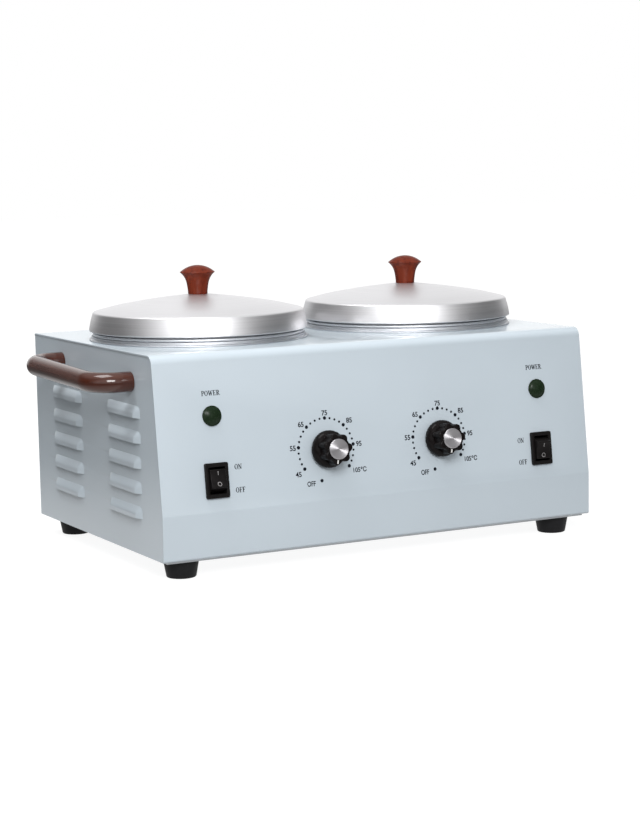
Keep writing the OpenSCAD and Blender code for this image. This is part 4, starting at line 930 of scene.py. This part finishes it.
def upright(x, weight, low=BOTTOM, high=TOP):
    """List with one upright line."""
    return [((x, low), (x, high), weight)]


def level(y, start, end):
    """List with one thin level line."""
    return [((start, y), (end, y), THIN)]


def slant(start_x, start_y, end_x, end_y, weight):
    """List with one slanting line."""
    return [((start_x, start_y), (end_x, end_y), weight)]


def serifs(x, *ys):
    """Short level bars centred on x, one at each height."""
    return [line for y in ys for line in level(y, x - BAR, x + BAR)]


F_LINES = upright(0.18, THICK) + level(TOP, 0.1, 0.60) + level(0.5, 0.2, 0.44)
LETTERS = {
    "O": (0.82, [], [(0.36, 0.5, 0.30, 0.47, 0, 360)]),
    "N": (0.92, upright(0.14, THIN) + slant(0.10, TOP, 0.66, BOTTOM, THICK) + upright(0.68, THIN)
          + serifs(0.14, BOTTOM) + serifs(0.68, TOP) + level(TOP, 0.0, 0.16), []),
    "F": (0.72, F_LINES + upright(0.60, THIN, TOP, 0.74) + upright(0.44, THIN, 0.60, 0.40)
          + serifs(0.18, BOTTOM, TOP), []),
    "P": (0.74, upright(0.18, THICK) + level(TOP, 0.18, 0.38) + level(0.47, 0.18, 0.38)
          + serifs(0.18, BOTTOM, TOP), [(0.36, 0.72, 0.19, 0.25, -90, 90)]),
    "W": (1.10, slant(0.12, TOP, 0.34, BOTTOM, THICK) + slant(0.34, BOTTOM, 0.54, 0.85, THIN)
          + slant(0.50, TOP, 0.72, BOTTOM, THICK) + slant(0.72, BOTTOM, 0.94, TOP, THIN)
          + serifs(0.12, TOP) + serifs(0.92, TOP), []),
    "E": (0.76, F_LINES + level(BOTTOM, 0.1, 0.62) + upright(0.60, THIN, TOP, 0.76)
          + upright(0.63, THIN, BOTTOM, 0.26) + upright(0.44, THIN, 0.60, 0.40)
          + serifs(0.18, BOTTOM, TOP), []),
    "R": (0.80, upright(0.18, THICK) + level(TOP, 0.18, 0.36) + level(0.50, 0.18, 0.36)
          + slant(0.36, 0.50, 0.66, BOTTOM, THICK * 0.9) + serifs(0.18, BOTTOM, TOP)
          + serifs(0.70, BOTTOM), [(0.34, 0.735, 0.19, 0.235, -90, 90)]),
}


def serif_word(text, x, v, height, width):
    """Closed shapes of a word centred at (x, v) on the front, that many millimetres high and wide."""
    parts, total = [], sum(LETTERS[c][0] for c in text)
    across = width / total
    cursor = -total / 2
    here = front_frame(x, v)
    for c in text:
        advance, lines, bows = LETTERS[c]
        for (x0, y0), (x1, y1), weight in lines:
            start = ((cursor + x0) * across, (y0 - 0.5) * height)
            end = ((cursor + x1) * across, (y1 - 0.5) * height)
            steep = abs(y1 - y0) > abs(x1 - x0)
            parts += stroke(start, end, weight * (across if steep else height), here)
        for bx, by, rx, ry, a0, a1 in bows:
            parts += ring((cursor + bx) * across, (by - 0.5) * height, rx * across, ry * height,
                          THIN * height, THICK * across, here, a0, a1)
        cursor += advance
    return parts


POWER_X, POWER_V, POWER_TALL, POWER_WIDE = 114.1, 70.7, 3.0, 12.0
SMALL_TALL, ON_WIDE, OFF_WIDE = 3.1, 4.9, 6.3
words = []
for s, _ in SIDES:
    words += serif_word("POWER", s * POWER_X - 0.4, POWER_V + 0.2 * s, POWER_TALL, POWER_WIDE)
for text, x, v in (("ON", -99.9, 25.8), ("OFF", -99.4, 12.0), ("ON", 100.3, 24.8), ("OFF", 101.0, 10.95)):
    words += serif_word(text, x, v, SMALL_TALL, ON_WIDE if text == "ON" else OFF_WIDE)
piece("printed_words", words, ink)
print("words", len(words), "shapes")

# %% [markdown]
# A dial's scale runs clockwise from OFF at the lower left to 105 at the lower right. Dots
# stand every 10.5 degrees, large ones at each number. Each number stands outside the ring
# at a distance of its own, as on the panel, and all of them stay upright.

# %% Dial scales
SCALE_R, STEP, LARGE_DOT, SMALL_DOT = 18.9, math.radians(10.5), 1.1, 0.7
OFF_R, OFF_STEP = 19.3, -16
SCALE_SHIFT, SCALE_TURN = -0.33, math.radians(-1.2)
FIGURE_TALL = 3.2
NUMBERS = {"75": (0.2, 22.0), "85": (16.8, 16.3), "95": (22.45, 1.55), "105℃": (22.0, -14.25),
           "65": (-16.4, 16.25), "55": (-22.95, 2.3), "45": (-20.25, -13.75), "OFF": (-12.0, -20.1)}


def figures(text, x, v, height, narrow):
    """Thin raised text from Blender's font, centred at (x, v) on the front."""
    curve = bpy.data.curves.new("figures", "FONT")
    curve.body = text
    curve.align_x, curve.align_y = "CENTER", "CENTER"
    curve.size, curve.extrude, curve.offset = 1.0, 0.01, 0.022
    curve.resolution_u = 6
    maker = bpy.data.objects.new("figures", curve)
    bpy.context.scene.collection.objects.link(maker)
    mesh = bpy.data.meshes.new_from_object(maker.evaluated_get(bpy.context.evaluated_depsgraph_get()))
    bpy.data.objects.remove(maker)
    points = np.array([v.co for v in mesh.vertices])
    faces = [list(p.vertices) for p in mesh.polygons]
    low, high = points.min(0), points.max(0)
    tall = height / (high[1] - low[1])
    points = (points - (low + high) / 2) * [tall * narrow, tall, (INK_TOP - INK_LOW) / (high[2] - low[2])]
    points[:, 2] += (INK_TOP + INK_LOW) / 2
    bpy.data.meshes.remove(mesh)
    return placed(points, front_frame(x, v)), faces, np.zeros((sum(map(len, faces)), 2))


marks = []
for s, _ in SIDES:
    here = front_frame(s * DIAL_X + SCALE_SHIFT, DIAL_V, turn=SCALE_TURN)
    for k in range(-12, 13):
        radius = SMALL_DOT if k % 4 else LARGE_DOT
        marks.append(dot(SCALE_R * math.sin(k * STEP), SCALE_R * math.cos(k * STEP), radius, here))
    marks.append(dot(OFF_R * math.sin(OFF_STEP * STEP), OFF_R * math.cos(OFF_STEP * STEP), LARGE_DOT, here))
    for text, (x, v) in NUMBERS.items():
        narrow = {"105℃": 0.92, "OFF": 0.76}.get(text, 0.96)
        marks.append(figures(text, s * DIAL_X + x, DIAL_V + v, FIGURE_TALL, narrow))
piece("dial_scales", marks, ink)
print("scales", len(marks), "marks")

# %% [markdown]
# Each dial knob has a white line from its cap to the edge of one lobe, and a short one
# below it on the skirt. They turn with the knob. Each rocker has a small line and a small
# ring in grey, laid on the two slopes of its hollow top, and they tip with it.

# %% Pointer lines and the rockers' marks
SKIRT_LEAN = math.radians(-82)
MARK_H, MARK_V, MARK_RISE, MARK_LEAN = 5.42, 3.3, 0.28, math.radians(9.5)
for s, name in SIDES:
    here = front_frame(s * DIAL_X, DIAL_V, KNOB_TOP, turn=POINTER)
    line = stroke((0, 6.75), (0, 8.9), 0.95, here)
    skirt = front_frame(s * DIAL_X, DIAL_V, turn=POINTER) @ Matrix.Translation((0, 11.38, 3.4))
    line += stroke((0, -1.0), (0, 1.0), 0.8, skirt @ Matrix.Rotation(SKIRT_LEAN, 4, "X"))
    piece(f"{name}_pointer_line", line, white_ink, f"{name}_knob")
    top = front_frame(s * SWITCH_X, SWITCH_V, PIVOT_H, s * TIP) @ Matrix.Translation((0, 0, MARK_H))
    up, down = [top @ Matrix.Translation((0, k * MARK_V, MARK_RISE))
                @ Matrix.Rotation(k * MARK_LEAN, 4, "X") for k in (1, -1)]
    signs = stroke((0, -1.2), (0, 1.2), 0.34, up) + ring(0, 0, 1.2, 1.2, 0.28, 0.28, down)
    piece(f"{name}_rocker_marks", signs, grey_ink, f"{name}_rocker")
print("pointers and rocker marks on", len(SIDES), "sides")

# %% [markdown]
# The studio is white. The camera sees an even white behind the object, while polished
# metal and lacquer mirror a room: bright in front, overhead and in a narrow zone behind,
# and dark in between. That room is a ramp over how far a ray points to the front, plus a
# bright ceiling. Matt surfaces get a softer light of their own, strongest from the front
# right and from above, which leaves the left side in half shade.

# %% Background and surroundings
world = bpy.data.worlds.new("studio")
bpy.context.scene.world = world
world.use_nodes = True
world.node_tree.nodes.clear()


def greys(value, stops):
    """Grey levels along a value; stops are (place, grey)."""
    return blended(world, value, [(place, (grey,) * 3) for place, grey in stops])


def facing(direction, way):
    """How far a direction points that way, from 0 for straight away from it to 1 for along it."""
    along = node(world, "ShaderNodeVectorMath", {0: direction, 1: way}, operation="DOT_PRODUCT")
    return node(world, "ShaderNodeMapRange", {"Value": along.outputs["Value"], "From Min": -1.0}).outputs[0]


def lighter(first, second):
    """The lighter of two colours."""
    mix = node(world, "ShaderNodeMix", {"Factor": 1.0, "A": first, "B": second}, data_type="RGBA",
               blend_type="LIGHTEN")
    return mix.outputs["Result"]


ray = node(world, "ShaderNodeLightPath")
direction = node(world, "ShaderNodeTexCoord").outputs["Generated"]
upward = node(world, "ShaderNodeSeparateXYZ", {0: direction}).outputs["Z"]
around = greys(facing(direction, (-0.47, -0.88, 0.0)),
               [(0.0, 1.1), (0.08, 1.0), (0.17, 0.18), (0.42, 0.07),
                (0.66, 0.05), (0.80, 0.5), (0.88, 1.1)])
ceiling = greys(node(world, "ShaderNodeMapRange", {"Value": upward}).outputs[0],
                [(0.0, 0.0), (0.35, 0.0), (0.75, 0.75), (1.0, 0.9)])
room = node(world, "ShaderNodeBackground", {"Color": lighter(around, ceiling)})
ambient = greys(facing(direction, (0.6, -0.8, 0.0)), [(0.0, 0.20), (0.35, 0.10), (0.75, 0.62), (1.0, 0.72)])
above = greys(upward, [(0.0, 0.0), (0.2, 0.05), (0.65, 0.50), (1.0, 0.8)])
soft = node(world, "ShaderNodeBackground", {"Color": lighter(ambient, above)})
white = node(world, "ShaderNodeBackground", {"Color": (1, 1, 1, 1), "Strength": 1.0})
unseen = node(world, "ShaderNodeMixShader", {0: ray.outputs["Is Glossy Ray"], 1: soft.outputs[0],
                                             2: room.outputs[0]})
seen = node(world, "ShaderNodeMixShader", {0: ray.outputs["Is Camera Ray"], 1: unseen.outputs[0],
                                           2: white.outputs[0]})
node(world, "ShaderNodeOutputWorld", {"Surface": seen.outputs[0]})
bpy.context.scene.view_settings.view_transform = "Standard"
print("room of", len(world.node_tree.nodes), "nodes")

# %% [markdown]
# Two soft lights are enough. The key stands in front and above, on the camera's side, and
# sets the small shadows of knobs and feet. The second hangs above and whitens the top and
# the lids. The floor is paper that glows for the camera, so it looks white and still keeps
# the object's shadow. Mirrored rays see its glow near the object and a darker floor far away.

# %% Lights and floor
def softbox(name, power, wide, tall, place, aim):
    """Rectangular area light of that many watts, at place and turned to aim."""
    lamp = bpy.data.lights.new(name, "AREA")
    lamp.shape = "RECTANGLE"
    lamp.energy, lamp.size, lamp.size_y = power, wide, tall
    obj = bpy.data.objects.new(name, lamp)
    bpy.context.scene.collection.objects.link(obj)
    obj.location = place
    obj.rotation_euler = (Vector(aim) - Vector(place)).to_track_quat("-Z", "Y").to_euler()
    return obj


softbox("key", 24, 0.8, 0.6, (-0.72, -1.64, 0.95), (0, 0, 0.08))
softbox("overhead", 11, 0.7, 0.7, (-0.45, 0.0, 1.45), (-0.05, 0, 0.1))
FAR = 6.0
ground = bpy.data.meshes.new("floor")
ground.from_pydata([(-FAR, -FAR, 0), (FAR, -FAR, 0), (FAR, FAR, 0), (-FAR, FAR, 0)], [], [(0, 1, 2, 3)])
floor = bpy.data.objects.new("floor", ground)
bpy.context.scene.collection.objects.link(floor)
paper, shader = new_finish("paper", 0.9, Specular_IOR_Level=0.0)
shader.inputs["Emission Color"].default_value = (1, 1, 1, 1)
ray = node(paper, "ShaderNodeLightPath")
tone = node(paper, "ShaderNodeMapRange", {"Value": ray.outputs["Is Glossy Ray"],
                                          "To Min": 0.25, "To Max": 0.09})
link(paper, tone.outputs[0], shader, "Base Color")
spot = node(paper, "ShaderNodeNewGeometry")
away = node(paper, "ShaderNodeVectorMath", {0: spot.outputs["Position"]}, operation="LENGTH")
near = node(paper, "ShaderNodeMapRange", {"Value": away.outputs["Value"], "From Min": 0.22, "From Max": 0.5,
                                          "To Min": 0.95, "To Max": 0.08})
mirrored_part = node(paper, "ShaderNodeMath", {0: ray.outputs["Is Glossy Ray"], 1: near.outputs[0]},
                     operation="MULTIPLY")
glow = node(paper, "ShaderNodeMath",
            {0: ray.outputs["Is Camera Ray"], 1: 0.88, 2: mirrored_part.outputs[0]},
            operation="MULTIPLY_ADD")
link(paper, glow.outputs[0], shader, "Emission Strength")
ground.materials.append(paper)
print("two lights and a floor")
